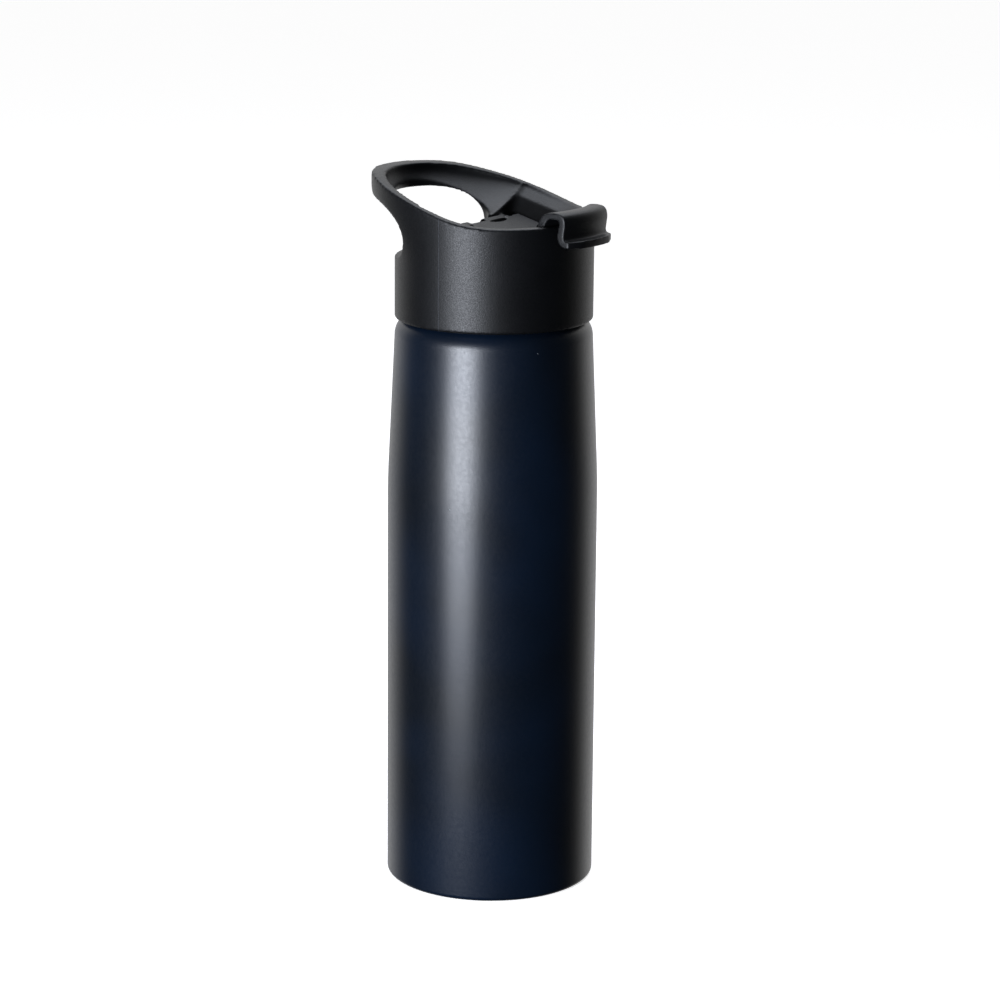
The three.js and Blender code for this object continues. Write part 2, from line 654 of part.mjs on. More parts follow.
// Leg, arch, outer leg and lip of the thumb hook, revolved about the lid's axis and cut to width.
function thumbHook() {
  const rim = RIM_FRONT;
  const legInside = LID_RADIUS + HOOK_RIM_GAP;
  const legOutside = legInside + HOOK_WALL;
  const archUnder = rim + HOOK_ARCH_GAP;
  const archTop = archUnder + HOOK_WALL;
  const lipTop = rim - HOOK_LEG + HOOK_WALL;
  const lipEnd = legOutside + HOOK_LIP;
  const plateTop = rim - FLAP_DROP;
  const outline = [
    [FLAP_RADIUS - 3.5, plateTop - FLAP_WALL + 0.3],
    [FLAP_RADIUS - 0.4, plateTop - FLAP_WALL + 0.6],
    [LID_RADIUS - 5.9, rim - 4.4],
    [LID_RADIUS - 2.3, rim + 0.1],
    [LID_RADIUS - 1.2, archUnder - 0.6],
    [LID_RADIUS + 0.2, archUnder],
    [legInside - 1.1, archUnder],
    [legInside - 0.1, archUnder - 1],
    [legInside, rim - 1.1],
    [legInside, rim - 3.9],
    [legInside + 1.4, rim - 5.6],
    [legInside + 3.7, rim - HOOK_LEG],
    [lipEnd - 0.6, rim - HOOK_LEG - 0.1],
    [lipEnd, rim - HOOK_LEG + 0.5],
    [lipEnd - 0.1, rim - 5.4],
    [legOutside + 2.2, lipTop - 0.8],
    [legOutside + 0.8, lipTop],
    [legOutside, rim - 2.8],
    [legOutside, rim + 1.5],
    [legOutside - 0.2, archTop - 1.2],
    [legOutside - 1.1, archTop - 0.3],
    [legOutside - 2.6, archTop],
    [LID_RADIUS + 0.9, archTop],
    [LID_RADIUS - 0.5, archTop - 0.4],
    [LID_RADIUS - 1.6, archTop - 1.1],
    [LID_RADIUS - 3.1, archTop - 2.7],
    [LID_RADIUS - 4.1, rim - 0.2],
    [LID_RADIUS - 7.5, rim - 4.3],
    [FLAP_RADIUS - 2.3, plateTop - 0.1],
    [FLAP_RADIUS - 3.5, plateTop - 0.3],
  ];
  const width = HOOK_HALF_WIDTH;
  const ring = solid(revolved(outline, SHELL_FACETS));
  const sides = solid(block(0, REACH, -width, width, 0, RIM_FRONT + 20));
  const plan = disc(HOOK_PLAN_RADIUS, 0, RIM_FRONT + 20, SHELL_FACETS);
  return ring.intersect(sides).intersect(solid(plan.translate(lipEnd - HOOK_PLAN_RADIUS, 0, 0)));
}

function hingeBarrel(side) {
  const [y0, y1] = onSide(side, BARREL_INNER, BARREL_OUTER);
  return solid(barAlongY(BARREL_RADIUS, HINGE_X, HINGE_Z, y0, y1));
}

// Room for a hinge lug in the flap's back edge, and the moulding relief beside it.
function flapCuts(side) {
  const lugFront = HINGE_X + LUG_RADIUS + FLAP_CLEARANCE;
  const [lug0, lug1] = onSide(side, BARREL_OUTER + 0.1, LUG_INNER + LUG_WIDTH + 0.3);
  const lugRoom = block(-REACH, lugFront, lug0, lug1, 0, RIM_FRONT);
  const back = HINGE_X + BARREL_RADIUS + 0.3;
  const [y0, y1] = onSide(side, BARREL_INNER + 0.3, BARREL_OUTER - 0.3);
  const relief = block(back, back + RELIEF_LENGTH, y0, y1, capTop(back) - RELIEF_DEPTH, RIM_FRONT);
  return solid(lugRoom).add(solid(relief));
}

function flipCap() {
  const seatRadius = SPOUT_BORE + SPOUT_WALL + 0.2;
  const seat = disc(seatRadius, SEAT_UNDERSIDE, capTop(SPOUT_X) - 1, INNER_FACETS);
  const studTop = SEAT_UNDERSIDE + STUD_HEIGHT + GAP;
  const studHole = disc(PLUG_STUD + GAP, SEAT_UNDERSIDE - 1, studTop);
  return capPlate()
    .subtract(flapCuts(1))
    .subtract(flapCuts(-1))
    .add(thumbHook())
    .add(hingeBarrel(1))
    .add(hingeBarrel(-1))
    .add(solid(seat.translate(SPOUT_X, 0, 0)))
    .subtract(solid(studHole.translate(SPOUT_X, 0, 0)))
    .subtract(pinHole());
}

function spoutPlug() {
  const stem = SPOUT_BORE - GAP;
  const flange = SPOUT_BORE + SPOUT_WALL - 0.2;
  const flangeBottom = DECK_TOP + SPOUT_HEIGHT + GAP;
  const flangeTop = flangeBottom + PLUG_FLANGE;
  const outline = [
    [0, flangeBottom - PLUG_STEM],
    [stem - PLUG_TAPER * PLUG_STEM, flangeBottom - PLUG_STEM],
    [stem, flangeBottom],
    [flange, flangeBottom],
    [flange, flangeTop],
    [PLUG_STUD, flangeTop],
    [PLUG_STUD, SEAT_UNDERSIDE + STUD_HEIGHT],
    [0, SEAT_UNDERSIDE + STUD_HEIGHT],
  ];
  return solid(revolved(outline, INNER_FACETS).translate(SPOUT_X, 0, 0));
}

function ventPad() {
  const radius = VENT_BORE + 0.9;
  const top = capTop(VENT_X + radius) - FLAP_WALL - GAP;
  return solid(disc(radius, DECK_TOP + VENT_HEIGHT + GAP, top).translate(VENT_X, 0, 0));
}

// ---------------------------------------------------------------- scene graph
const steel = { color: 0xb9bcc0, roughness: 0.35, metalness: 1 };
const blackCoat = { color: 0x0d1118, roughness: 0.45, metalness: 0.1 };
const blackPlastic = { color: 0x15161a, roughness: 0.6, metalness: 0 };
const silicone = { color: 0x2a2c30, roughness: 0.75, metalness: 0 };
const copper = { color: 0xb87352, roughness: 0.3, metalness: 1 };
const glass = { color: 0x8d9496, roughness: 0.2, metalness: 0 };
const getterMetal = { color: 0x6f6a66, roughness: 0.8, metalness: 0.6 };

function part(name, manifold, finish) {
  const mesh = new THREE.Mesh(geometryOf(manifold), new THREE.MeshStandardMaterial(finish));
  mesh.name = name;
  return mesh;
}

function group(...children) {
  return new THREE.Group().add(...children);
}

const bottle = group(
  part("outer_shell", outerShell(), blackCoat),
  part("inner_flask", innerFlask(), steel),
  part("foil_shield", foilShield(), copper),
  part("base_plate", basePlate(), steel),
  part("base_cover", baseCover(), blackCoat),
  part("seal_bead", sealBead(), glass),
  part("getter_holder", getterHolder(), steel),
  part("getter_pellet", getterPellet(), getterMetal),
);

const flap = group(
  part("flip_cap", flipCap(), blackPlastic),
  part("spout_plug", spoutPlug(), silicone),
  part("vent_pad", ventPad(), silicone),
);

const lid = group(
  part("lid_shell", lidShell(), blackPlastic),
  part("lid_core", lidCore(), blackPlastic),
  part("lid_gasket", lidGasket(), silicone),
  part("hinge_pin_left", hingePin(1), steel),
  part("hinge_pin_right", hingePin(-1), steel),
  flap,
);

export default group(bottle, lid);
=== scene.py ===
import math

import bmesh
import bpy
from mathutils import Matrix, Vector


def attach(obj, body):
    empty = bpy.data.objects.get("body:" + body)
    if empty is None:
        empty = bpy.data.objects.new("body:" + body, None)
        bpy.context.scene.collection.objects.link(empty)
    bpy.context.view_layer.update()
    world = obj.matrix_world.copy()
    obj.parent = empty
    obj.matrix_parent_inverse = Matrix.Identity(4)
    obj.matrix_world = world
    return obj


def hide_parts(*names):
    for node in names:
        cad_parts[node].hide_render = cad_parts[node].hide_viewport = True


# Vacuum flask: satin coated steel bottle, moulded black lid with a carry loop and a hinged flip cap.
# Shapes are worked out in millimetres and scaled to metres when a piece is finished.

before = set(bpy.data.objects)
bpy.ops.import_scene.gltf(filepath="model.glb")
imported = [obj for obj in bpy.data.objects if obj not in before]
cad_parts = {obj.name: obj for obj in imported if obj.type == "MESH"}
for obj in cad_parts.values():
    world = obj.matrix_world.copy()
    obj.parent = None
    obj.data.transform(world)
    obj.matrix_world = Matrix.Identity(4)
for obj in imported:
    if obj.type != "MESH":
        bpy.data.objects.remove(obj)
scene = bpy.context.scene
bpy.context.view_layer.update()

MM = 0.001
SPIN_STEPS = 192
TURNED_CREASE = 35  # degrees past which an edge of a turned piece looks sharp
MOULDED_CREASE = 60  # the same for the rounded mouldings

# ------------------------------------------------------------------ sizes shared with the frame, mm
BODY_RADIUS = 36.6
TAPER_INSET = 2.3
TAPER_START = 143.5
TAPER_BLEND = 6.5
SHOULDER_START = 194.8
SHOULDER_ROUND = 7
STEEL_WALL = 0.6
FOOT_ROUND = 1.8
FOOT_INNER = 33.2
NECK_RADIUS = 28.6
MOUTH = 215.5
THREAD_STARTS = 3
THREAD_LEAD = 12
THREAD_SPAN = math.radians(110)
THREAD_DEPTH = 1.3
THREAD_RISE = 11.2

SKIRT_EDGE = 200.9
SKIRT_WALL = 2.3
LID_RADIUS = 34.3
LEDGE = 222
RIM_FRONT = 236.8
RIM_FLAT_FROM = 22
RIM_SLOPE = 0.25
LOOP_OVERHANG = 11.5
LOOP_ROUND = 16
LOOP_BAND = 7.4
LOOP_LAND = 5.4
RIM_LAND = 2.8
NOTCH_FRONT = 16.5
HOLE_CENTRE = 20
HOLE_HALF_WIDTH = 17.2
HOLE_FRONT_REACH = 12
HOLE_BACK = 7.3
FUNNEL_FRONT_DEPTH = 8.6
FUNNEL_BACK_DEPTH = 4.3
BULKHEAD_WALL = 2.1
BULKHEAD_GATE = 12.3
RECESS_RADIUS = 23.7
RECESS_DRAFT = 3.4
FLAP_DROP = 8
BAND_DROP = 3
CORING_WALL = 2.3
DECK_UNDERSIDE = 217.8
DECK_TOP = 219.8
CORE_RADIUS = 31.7
CORE_BORE = 30.3
SPOUT_X = 0.475 * RECESS_RADIUS
SPOUT_BORE = 6.6
SPOUT_WALL = 2
SPOUT_HEIGHT = 3.4
VENT_X = -2
VENT_BORE = 1
VENT_WALL = 1.6
VENT_HEIGHT = 5.6
PLUG_RING_RADIUS = 26.3
FLAP_WALL = 2.2
FLAP_RADIUS = 23.2
FLAP_BACK = 6.9
HINGE_X = -8
BARREL_RADIUS = 1.7
BARREL_INNER = 4.3
BARREL_OUTER = 15.2
PIN_RADIUS = 0.95
PIN_LENGTH = 13.2
LUG_RADIUS = 1.2
LUG_INNER = BARREL_OUTER + 0.4
LUG_WIDTH = 3.6
HOOK_HALF_WIDTH = 12.9
HOOK_WALL = 2.4
HOOK_PLAN_RADIUS = 22.3

# Used only here, mm. Rounding the lid's edges takes these much off its crest and its back.
CREST_LIFT = 1.05
BACK_LIFT = 0.55
REACH = 80  # well past the lid sideways
BELOW_CAP, ABOVE_CAP = 200, 260  # well past the cap in height


def rim_height(x):
    """Height of the lid's rim over the X axis."""
    bend = max(0.0, RIM_FLAT_FROM - max(x, 0.0))
    level = max(0.0, -x - (LID_RADIUS + LOOP_OVERHANG - LOOP_ROUND))
    rise = RIM_SLOPE * max(0.0, -x)
    return (
        RIM_FRONT
        + RIM_SLOPE * bend * bend / (2 * RIM_FLAT_FROM)
        + rise
        - RIM_SLOPE * level * level / (2 * LOOP_ROUND)
    )


LOOP_BACK = LID_RADIUS + LOOP_OVERHANG
LOOP_TOP = rim_height(-LOOP_BACK)
HINGE_Z = rim_height(HINGE_X) - FLAP_DROP - BARREL_RADIUS
RECESS_BACK = HINGE_X - BARREL_RADIUS - 0.5
HOLE_FRONT = RECESS_BACK - BULKHEAD_WALL
HOLE_END = HOLE_BACK - LOOP_BACK
SLOT_FLOOR = RIM_FRONT - FLAP_DROP - 1.3


def smooth_share(value, low, high):
    """Goes from 0 at low to 1 at high, gently at both ends."""
    share = min(1.0, max(0.0, (value - low) / (high - low)))
    return share * share * (3 - 2 * share)


# ------------------------------------------------------------------ outlines
def arc(centre_r, centre_z, radius, start, end, steps):
    """Points of an arc in radius and height, by degrees."""
    angles = [math.radians(start + (end - start) * i / steps) for i in range(steps + 1)]
    return [(centre_r + radius * math.cos(a), centre_z + radius * math.sin(a)) for a in angles]


def filleted(points, steps=5):
    """An outline whose corners are rounded where a point carries a third number, its radius."""
    made = []
    for i, point in enumerate(points):
        corner = Vector(point[:2])
        radius = point[2] if len(point) > 2 else 0
        if not radius:
            made.append(tuple(corner))
            continue
        before = (Vector(points[i - 1][:2]) - corner).normalized()
        after = (Vector(points[(i + 1) % len(points)][:2]) - corner).normalized()
        half = before.angle(after) / 2
        reach = radius / math.tan(half)
        start, end = corner + before * reach, corner + after * reach
        for k in range(steps + 1):
            t = k / steps
            made.append(tuple(start * (1 - t) ** 2 + corner * 2 * t * (1 - t) + end * t * t))
    return made


# ------------------------------------------------------------------ mesh helpers
def settled(bm):
    """Merges points that meet and turns every face outwards."""
    bmesh.ops.remove_doubles(bm, verts=bm.verts, dist=1e-4)
    bmesh.ops.recalc_face_normals(bm, faces=bm.faces)
    return bm


def spun(outline, steps=SPIN_STEPS):
    """A solid of revolution about Z. The outline is closed, or starts and ends on the axis."""
    bm = bmesh.new()
    verts = [bm.verts.new((r, 0, z)) for r, z in outline]
    pairs = list(zip(verts, verts[1:]))
    if outline[0][0] > 0 or outline[-1][0] > 0:
        pairs.append((verts[-1], verts[0]))
    edges = [bm.edges.new(pair) for pair in pairs]
    bmesh.ops.spin(
        bm, geom=verts + edges, cent=(0, 0, 0), axis=(0, 0, 1), dvec=(0, 0, 0),
        angle=2 * math.pi, steps=steps, use_merge=True,
    )
    return settled(bm)


def prism(outline, axis, low, high, steps=1):
    """A flat outline pushed along X or Y, with no wall left inside between its steps. The outline's
    points are the other horizontal axis and Z."""
    bm = bmesh.new()
    if axis == "X":
        verts = [bm.verts.new((low, u, z)) for u, z in outline]
        step = Vector(((high - low) / steps, 0, 0))
    else:
        verts = [bm.verts.new((u, low, z)) for u, z in outline]
        step = Vector((0, (high - low) / steps, 0))
    cap = bm.faces.new(verts)
    for i in range(steps):
        region = bmesh.ops.extrude_face_region(bm, geom=[cap])["geom"]
        moved = [part for part in region if isinstance(part, bmesh.types.BMVert)]
        bmesh.ops.translate(bm, verts=moved, vec=step)
        if i > 0 and cap.is_valid:
            bmesh.ops.delete(bm, geom=[cap], context="FACES_ONLY")
        cap = next(part for part in region if isinstance(part, bmesh.types.BMFace))
    return settled(bm)


def block(x0, x1, y0, y1, z0, z1):
    """A box between two corners."""
    bm = bmesh.new()
    bmesh.ops.create_cube(bm, size=1)
    bmesh.ops.scale(bm, verts=bm.verts, vec=(x1 - x0, y1 - y0, z1 - z0))
    middle = ((x0 + x1) / 2, (y0 + y1) / 2, (z0 + z1) / 2)
    bmesh.ops.translate(bm, verts=bm.verts, vec=middle)
    return bm


def bar(radius, x, z, y0, y1, chamfer=0.0, segments=48):
    """A round bar along Y."""
    bm = bmesh.new()
    bmesh.ops.create_cone(
        bm, cap_ends=True, segments=segments, radius1=radius, radius2=radius, depth=y1 - y0,
    )
    if chamfer:
        rims = [e for e in bm.edges if len(e.link_faces) == 2 and e.calc_face_angle() > 1]
        bmesh.ops.bevel(
            bm, geom=rims, offset=chamfer, segments=3, profile=0.5, affect="EDGES", material=-1,
        )
    bmesh.ops.rotate(bm, verts=bm.verts, matrix=Matrix.Rotation(math.pi / 2, 3, "X"))
    bmesh.ops.translate(bm, verts=bm.verts, vec=(x, (y0 + y1) / 2, z))
    return bm


def shifted(bm, x=0.0, z=0.0):
    bmesh.ops.translate(bm, verts=bm.verts, vec=(x, 0, z))
    return bm


def reshaped(bm, move):
    """Moves every point to where a rule of its place says."""
    for vert in bm.verts:
        vert.co = move(vert.co.x, vert.co.y, vert.co.z)
    return bm


def ridge(section, start_angle, start_height):
    """A thread ridge, swept up a helix and faded out at both ends."""
    steps = 44
    root = section[0][0]
    bm = bmesh.new()
    face = bm.faces.new([bm.verts.new((r, 0, z)) for r, z in section])
    rise = THREAD_LEAD * THREAD_SPAN / (2 * math.pi) / steps
    bmesh.ops.spin(
        bm, geom=[face, *face.edges, *face.verts], cent=(0, 0, 0), axis=(0, 0, 1),
        dvec=(0, 0, rise), angle=THREAD_SPAN, steps=steps, use_merge=False,
    )

    def faded(x, y, z):
        angle = math.atan2(y, x)
        radius = math.hypot(x, y)
        share = smooth_share(min(angle, THREAD_SPAN - angle), -0.01, 0.22)
        radius = root + (radius - root) * (0.25 + 0.75 * share)
        turned = angle + start_angle
        return Vector((radius * math.cos(turned), radius * math.sin(turned), z + start_height))

    return settled(reshaped(bm, faded))


def as_object(bm, name="stock"):
    mesh = bpy.data.meshes.new(name)
    bm.to_mesh(mesh)
    bm.free()
    made = bpy.data.objects.new(name, mesh)
    scene.collection.objects.link(made)
    return made


def apply_modifiers(obj):
    """Makes what the modifiers show the object's own mesh."""
    graph = bpy.context.evaluated_depsgraph_get()
    mesh = bpy.data.meshes.new_from_object(obj.evaluated_get(graph))
    obj.modifiers.clear()
    old = obj.data
    obj.data = mesh
    bpy.data.meshes.remove(old)


def worked(stock, *steps):
    """Joins ("UNION"), cuts ("DIFFERENCE") or keeps ("INTERSECT") solids one after another."""
    obj = as_object(stock)
    tools = []
    for operation, bm in steps:
        tool = as_object(bm)
        modifier = obj.modifiers.new(operation.lower(), "BOOLEAN")
        modifier.operation = operation
        modifier.object = tool
        modifier.solver = "MANIFOLD"
        tools.append(tool)
    apply_modifiers(obj)
    for tool in tools:
        mesh = tool.data
        bpy.data.objects.remove(tool)
        bpy.data.meshes.remove(mesh)
    return obj


def to_bmesh(obj):
    """Takes a solid's mesh back for further work, and removes its object."""
    bm = bmesh.new()
    bm.from_mesh(obj.data)
    mesh = obj.data
    bpy.data.objects.remove(obj)
    bpy.data.meshes.remove(mesh)
    return bm


def softened(obj, voxel, passes, soft_at=None, soft_passes=0):
    """Rounds every edge of a moulded part a little, and those where soft_at says so a lot."""
    remesh = obj.modifiers.new("even", "REMESH")
    remesh.mode = "VOXEL"
    remesh.voxel_size = voxel
    apply_modifiers(obj)
    smooth = obj.modifiers.new("edges", "SMOOTH")
    smooth.factor = 0.5
    smooth.iterations = passes
    apply_modifiers(obj)
    if soft_at:
        group = obj.vertex_groups.new(name="soft")
        for vert in obj.data.vertices:
            weight = soft_at(*vert.co)
            if weight > 0:
                group.add([vert.index], weight, "REPLACE")
        smooth = obj.modifiers.new("soft edges", "SMOOTH")
        smooth.factor = 0.5
        smooth.iterations = soft_passes
        smooth.vertex_group = "soft"
        apply_modifiers(obj)
        obj.vertex_groups.clear()
    return obj


def finished(obj, name, body, material, replaces, crease=TURNED_CREASE):
    """Scales a piece to metres, gives it its material and joins it to the frame."""
    obj.data.transform(Matrix.Scale(MM, 4))
    obj.name = name
    obj.data.name = name
    obj.data.materials.clear()
    obj.data.materials.append(material)
    obj.data.shade_smooth()
    obj.data.set_sharp_from_angle(angle=math.radians(crease))
    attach(obj, body)
    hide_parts(*replaces)
    return obj


# ------------------------------------------------------------------ materials
TEXTURE_PLACE = "ShaderNodeTexCoord"
MAPPING = "ShaderNodeMapping"
NOISE = "ShaderNodeTexNoise"
CELLS = "ShaderNodeTexVoronoi"
RAMP = "ShaderNodeValToRGB"
MATH = "ShaderNodeMath"
MIX = "ShaderNodeMix"
BUMP = "ShaderNodeBump"
COLOUR_A, COLOUR_B, MIXED_COLOUR = 6, 7, 2  # the colour sockets of a Mix node

COAT_DEEP = "#030a14"
COAT_BLUE = "#061425"
COAT_NIB = "#8d949c"
COAT_ROUGHNESS = 0.37
PLASTIC_DARK = "#040507"
PLASTIC_LIGHT = "#07080b"
# The parting line's colour is a painted highlight: lighter than the plastic, as where its ridge catches the
# light.
PLASTIC_SEAM_HIGHLIGHT = "#2c2e33"
PLASTIC_NIB = "#7b7f86"
PLASTIC_ROUGHNESS = 0.47
SEAM_PLACE = 1.7
SEAM_HALF_WIDTH = 0.13


def linear(code):
    """An sRGB hex colour as linear RGBA."""
    parts = [int(code[i:i + 2], 16) / 255 for i in (1, 3, 5)]
    return tuple(c / 12.92 if c <= 0.04045 else ((c + 0.055) / 1.055) ** 2.4 for c in parts) + (1.0,)


def output_of(source):
    """A socket as it is, or a node's first output."""
    return source.outputs[0] if isinstance(source, bpy.types.Node) else source


def add_node(owner, kind, inputs=None, stops=(), **settings):
    """Adds one node to a material or the world. An input that is a node or a socket is linked; any
    other value is set. Stops are a colour ramp's positions with a hex colour or a level each."""
    made = owner.node_tree.nodes.new(kind)
    for key, value in settings.items():
        setattr(made, key, value)
    for key, value in (inputs or {}).items():
        if isinstance(value, (bpy.types.Node, bpy.types.NodeSocket)):
            owner.node_tree.links.new(output_of(value), made.inputs[key])
        else:
            made.inputs[key].default_value = value
    for i, (position, value) in enumerate(stops):
        element = made.color_ramp.elements[i]
        element.position = position
        element.color = linear(value) if isinstance(value, str) else (value, value, value, 1)
    return made


def per_mm(size):
    """Texture scale whose pattern repeats about every size millimetres."""
    return 1 / (size * MM)


def new_finish(name, **uniform):
    """A material with its uniform values on the shader, and the object's own coordinates."""
    material = bpy.data.materials.new(name)
    material.use_nodes = True
    shader = material.node_tree.nodes["Principled BSDF"]
    for key, value in uniform.items():
        shader.inputs[key.replace("_", " ")].default_value = value
    return material, add_node(material, TEXTURE_PLACE).outputs["Object"]


def shaded(material, colour, roughness=None, normal=None):
    """Leads a finish's colour, roughness and relief to its shader."""
    shader = material.node_tree.nodes["Principled BSDF"]
    for name, source in (("Base Color", colour), ("Roughness", roughness), ("Normal", normal)):
        if source:
            material.node_tree.links.new(output_of(source), shader.inputs[name])
    return material


def specks(material, place, spacing, radius, share):
    """Dust nibs: one round speck in some of the cells of a grid about spacing millimetres wide."""
    cells = add_node(material, CELLS, {"Vector": place, "Scale": per_mm(spacing)})
    close = {0: cells.outputs["Distance"], 1: radius / spacing}
    near = add_node(material, MATH, close, operation="LESS_THAN")
    number = add_node(material, "ShaderNodeSeparateColor", {"Color": cells.outputs["Color"]})
    chosen = add_node(material, MATH, {0: number.outputs["Red"], 1: share}, operation="LESS_THAN")
    return add_node(material, MATH, {0: near, 1: chosen}, operation="MULTIPLY")


def powder_coat():
    """Satin epoxy powder coat, sprayed and baked on turned steel: near black with a blue cast and a
    soft sheen. Its faint orange peel and the steel's turning rings break up the highlight."""
    material, place = new_finish("satin black powder coat on turned steel", IOR=1.5)
    drift = add_node(material, NOISE, {"Vector": place, "Scale": per_mm(55)})
    tone = add_node(material, RAMP, {"Fac": drift}, [(0.35, COAT_DEEP), (0.65, COAT_BLUE)])
    nibs = specks(material, place, 7.5, 0.16, 0.08)
    colours = {0: nibs, COLOUR_A: tone, COLOUR_B: linear(COAT_NIB)}
    colour = add_node(material, MIX, colours, data_type="RGBA").outputs[MIXED_COLOUR]

    fine = add_node(
        material, NOISE, {"Vector": place, "Scale": per_mm(1.1), "Detail": 3.0, "Roughness": 0.6},
    )
    levels = [(0.3, COAT_ROUGHNESS - 0.03), (0.7, COAT_ROUGHNESS + 0.03)]
    roughness = add_node(material, RAMP, {"Fac": fine}, levels)

    # The turning rings are noise stretched round the bottle, eight times longer than they are high.
    stretched = add_node(material, MAPPING, {"Vector": place, "Scale": (0.12, 0.12, 1.0)})
    rings = add_node(
        material, NOISE, {"Vector": stretched, "Scale": per_mm(0.9), "Detail": 2.0, "Roughness": 0.6},
    )
    peel = add_node(material, NOISE, {"Vector": place, "Scale": per_mm(1.6), "Detail": 1.0})
    surface = add_node(material, MATH, {0: rings, 1: 0.9, 2: peel}, operation="MULTIPLY_ADD")
    relief = add_node(material, BUMP, {"Height": surface, "Distance": 0.010 * MM})
    relief = add_node(material, BUMP, {"Height": nibs, "Distance": 0.03 * MM, "Normal": relief})
    return shaded(material, colour, roughness, relief)


def parting_line(material, place):
    """1 on the hair line where the two halves of the tool meet, on the lid's outside only."""
    axes = add_node(material, "ShaderNodeSeparateXYZ", {"Vector": place})
    wander = add_node(material, NOISE, {"Vector": place, "Scale": per_mm(6)})
    across = add_node(
        material, MATH, {0: wander, 1: 0.4 * MM, 2: axes.outputs["X"]}, operation="MULTIPLY_ADD",
    )
    inputs = {0: across, 1: SEAM_PLACE * MM, 2: SEAM_HALF_WIDTH * MM}
    line = add_node(material, MATH, inputs, operation="COMPARE")
    squared = [
        add_node(material, MATH, {0: axes.outputs[name], 1: axes.outputs[name]}, operation="MULTIPLY")
        for name in "XY"
    ]
    reach = add_node(material, MATH, {0: squared[0], 1: squared[1]}, operation="ADD")
    outside = add_node(
        material, MATH, {0: reach, 1: (LID_RADIUS - 0.5) ** 2 * MM * MM}, operation="GREATER_THAN",
    )
    return add_node(material, MATH, {0: line, 1: outside}, operation="MULTIPLY")


def moulded_plastic():
    """Black polypropylene moulded in a spark-eroded tool: matt, with a fine sandy grain that glints a
    little where the light falls, and a hair line where the two halves of the tool meet, painted
    lighter as a highlight along its tiny ridge."""
    material, place = new_finish("moulded black polypropylene", IOR=1.49, Specular_IOR_Level=0.36)
    drift = add_node(material, NOISE, {"Vector": place, "Scale": per_mm(14)})
    tone = add_node(material, RAMP, {"Fac": drift}, [(0.3, PLASTIC_DARK), (0.7, PLASTIC_LIGHT)])
    nibs = specks(material, place, 5.5, 0.12, 0.10)
    seam = parting_line(material, place)
    # The hair line is a real tiny ridge, given by the relief below. Its lighter colour is a painted highlight
    # along that ridge.
    colours = {0: seam, COLOUR_A: tone, COLOUR_B: linear(PLASTIC_SEAM_HIGHLIGHT)}
    seam_highlighted = add_node(material, MIX, colours, data_type="RGBA").outputs[MIXED_COLOUR]
    colours = {0: nibs, COLOUR_A: seam_highlighted, COLOUR_B: linear(PLASTIC_NIB)}
    colour = add_node(material, MIX, colours, data_type="RGBA").outputs[MIXED_COLOUR]

    # The real grit is about 0.15 mm; it is drawn at 0.45 mm so that it shows.
    grit = add_node(
        material, NOISE, {"Vector": place, "Scale": per_mm(0.45), "Detail": 2.0, "Roughness": 0.7},
    )
    levels = [(0.3, PLASTIC_ROUGHNESS - 0.07), (0.7, PLASTIC_ROUGHNESS + 0.05)]
    roughness = add_node(material, RAMP, {"Fac": grit}, levels)
    relief = add_node(material, BUMP, {"Height": grit, "Distance": 0.045 * MM})
    relief = add_node(material, BUMP, {"Height": seam, "Distance": 0.04 * MM, "Normal": relief})
    return shaded(material, colour, roughness, relief)


def moulded_silicone():
    """Black food-grade silicone, compression moulded: soft, dull and slightly dusty looking."""
    material, place = new_finish("moulded silicone", IOR=1.41, Sheen_Weight=0.15, Sheen_Roughness=0.5)
    bloom = add_node(
        material, NOISE, {"Vector": place, "Scale": per_mm(4), "Detail": 3.0, "Roughness": 0.6},
    )
    colour = add_node(material, RAMP, {"Fac": bloom}, [(0.3, "#2a2c30"), (0.7, "#34363b")])
    roughness = add_node(material, RAMP, {"Fac": bloom}, [(0.3, 0.68), (0.7, 0.8)])
    skin = add_node(material, NOISE, {"Vector": place, "Scale": per_mm(0.5)})
    relief = add_node(material, BUMP, {"Height": skin, "Distance": 0.01 * MM})
    return shaded(material, colour, roughness, relief)


def polished_steel():
    """Electropolished 304 stainless steel, spun on a lathe: bright, with fine rings round the axis."""
    material, place = new_finish("electropolished stainless steel", Metallic=1.0)
    stretched = add_node(material, MAPPING, {"Vector": place, "Scale": (0.06, 0.06, 1.0)})
    rings = add_node(
        material, NOISE, {"Vector": stretched, "Scale": per_mm(0.35), "Detail": 3.0, "Roughness": 0.6},
    )
    colour = add_node(material, RAMP, {"Fac": rings}, [(0.3, "#b4b7bb"), (0.7, "#cfd1d4")])
    roughness = add_node(material, RAMP, {"Fac": rings}, [(0.3, 0.24), (0.7, 0.36)])
    relief = add_node(material, BUMP, {"Height": rings, "Distance": 0.006 * MM})
    return shaded(material, colour, roughness, relief)


def grained(finish, size, detail, grain, colours, levels, depth):
    """A finish whose colour, roughness and relief all follow one grain, about size millimetres wide."""
    material, place = finish
    inputs = {"Vector": place, "Scale": per_mm(size), "Detail": detail, "Roughness": grain}
    pattern = add_node(material, NOISE, inputs)
    colour = add_node(material, RAMP, {"Fac": pattern}, [(0.3, colours[0]), (0.7, colours[1])])
    roughness = add_node(material, RAMP, {"Fac": pattern}, [(0.3, levels[0]), (0.7, levels[1])])
    relief = add_node(material, BUMP, {"Height": pattern, "Distance": depth * MM})
    return shaded(material, colour, roughness, relief)


def bright_copper():
    """Rolled copper foil wrapped round the liner: bright and slightly crinkled."""
    foil = new_finish("rolled copper foil", Metallic=1.0)
    return grained(foil, 5, 4.0, 0.6, ("#b06a45", "#cc8a63"), (0.22, 0.34), 0.15)


def sealing_glass():
    """Fused sealing glass: a grey-green bead with a fired, glossy skin."""
    glass = new_finish("fused sealing glass", IOR=1.52)
    return grained(glass, 1.5, 3.0, 0.5, ("#7d8786", "#99a3a1"), (0.12, 0.22), 0.02)


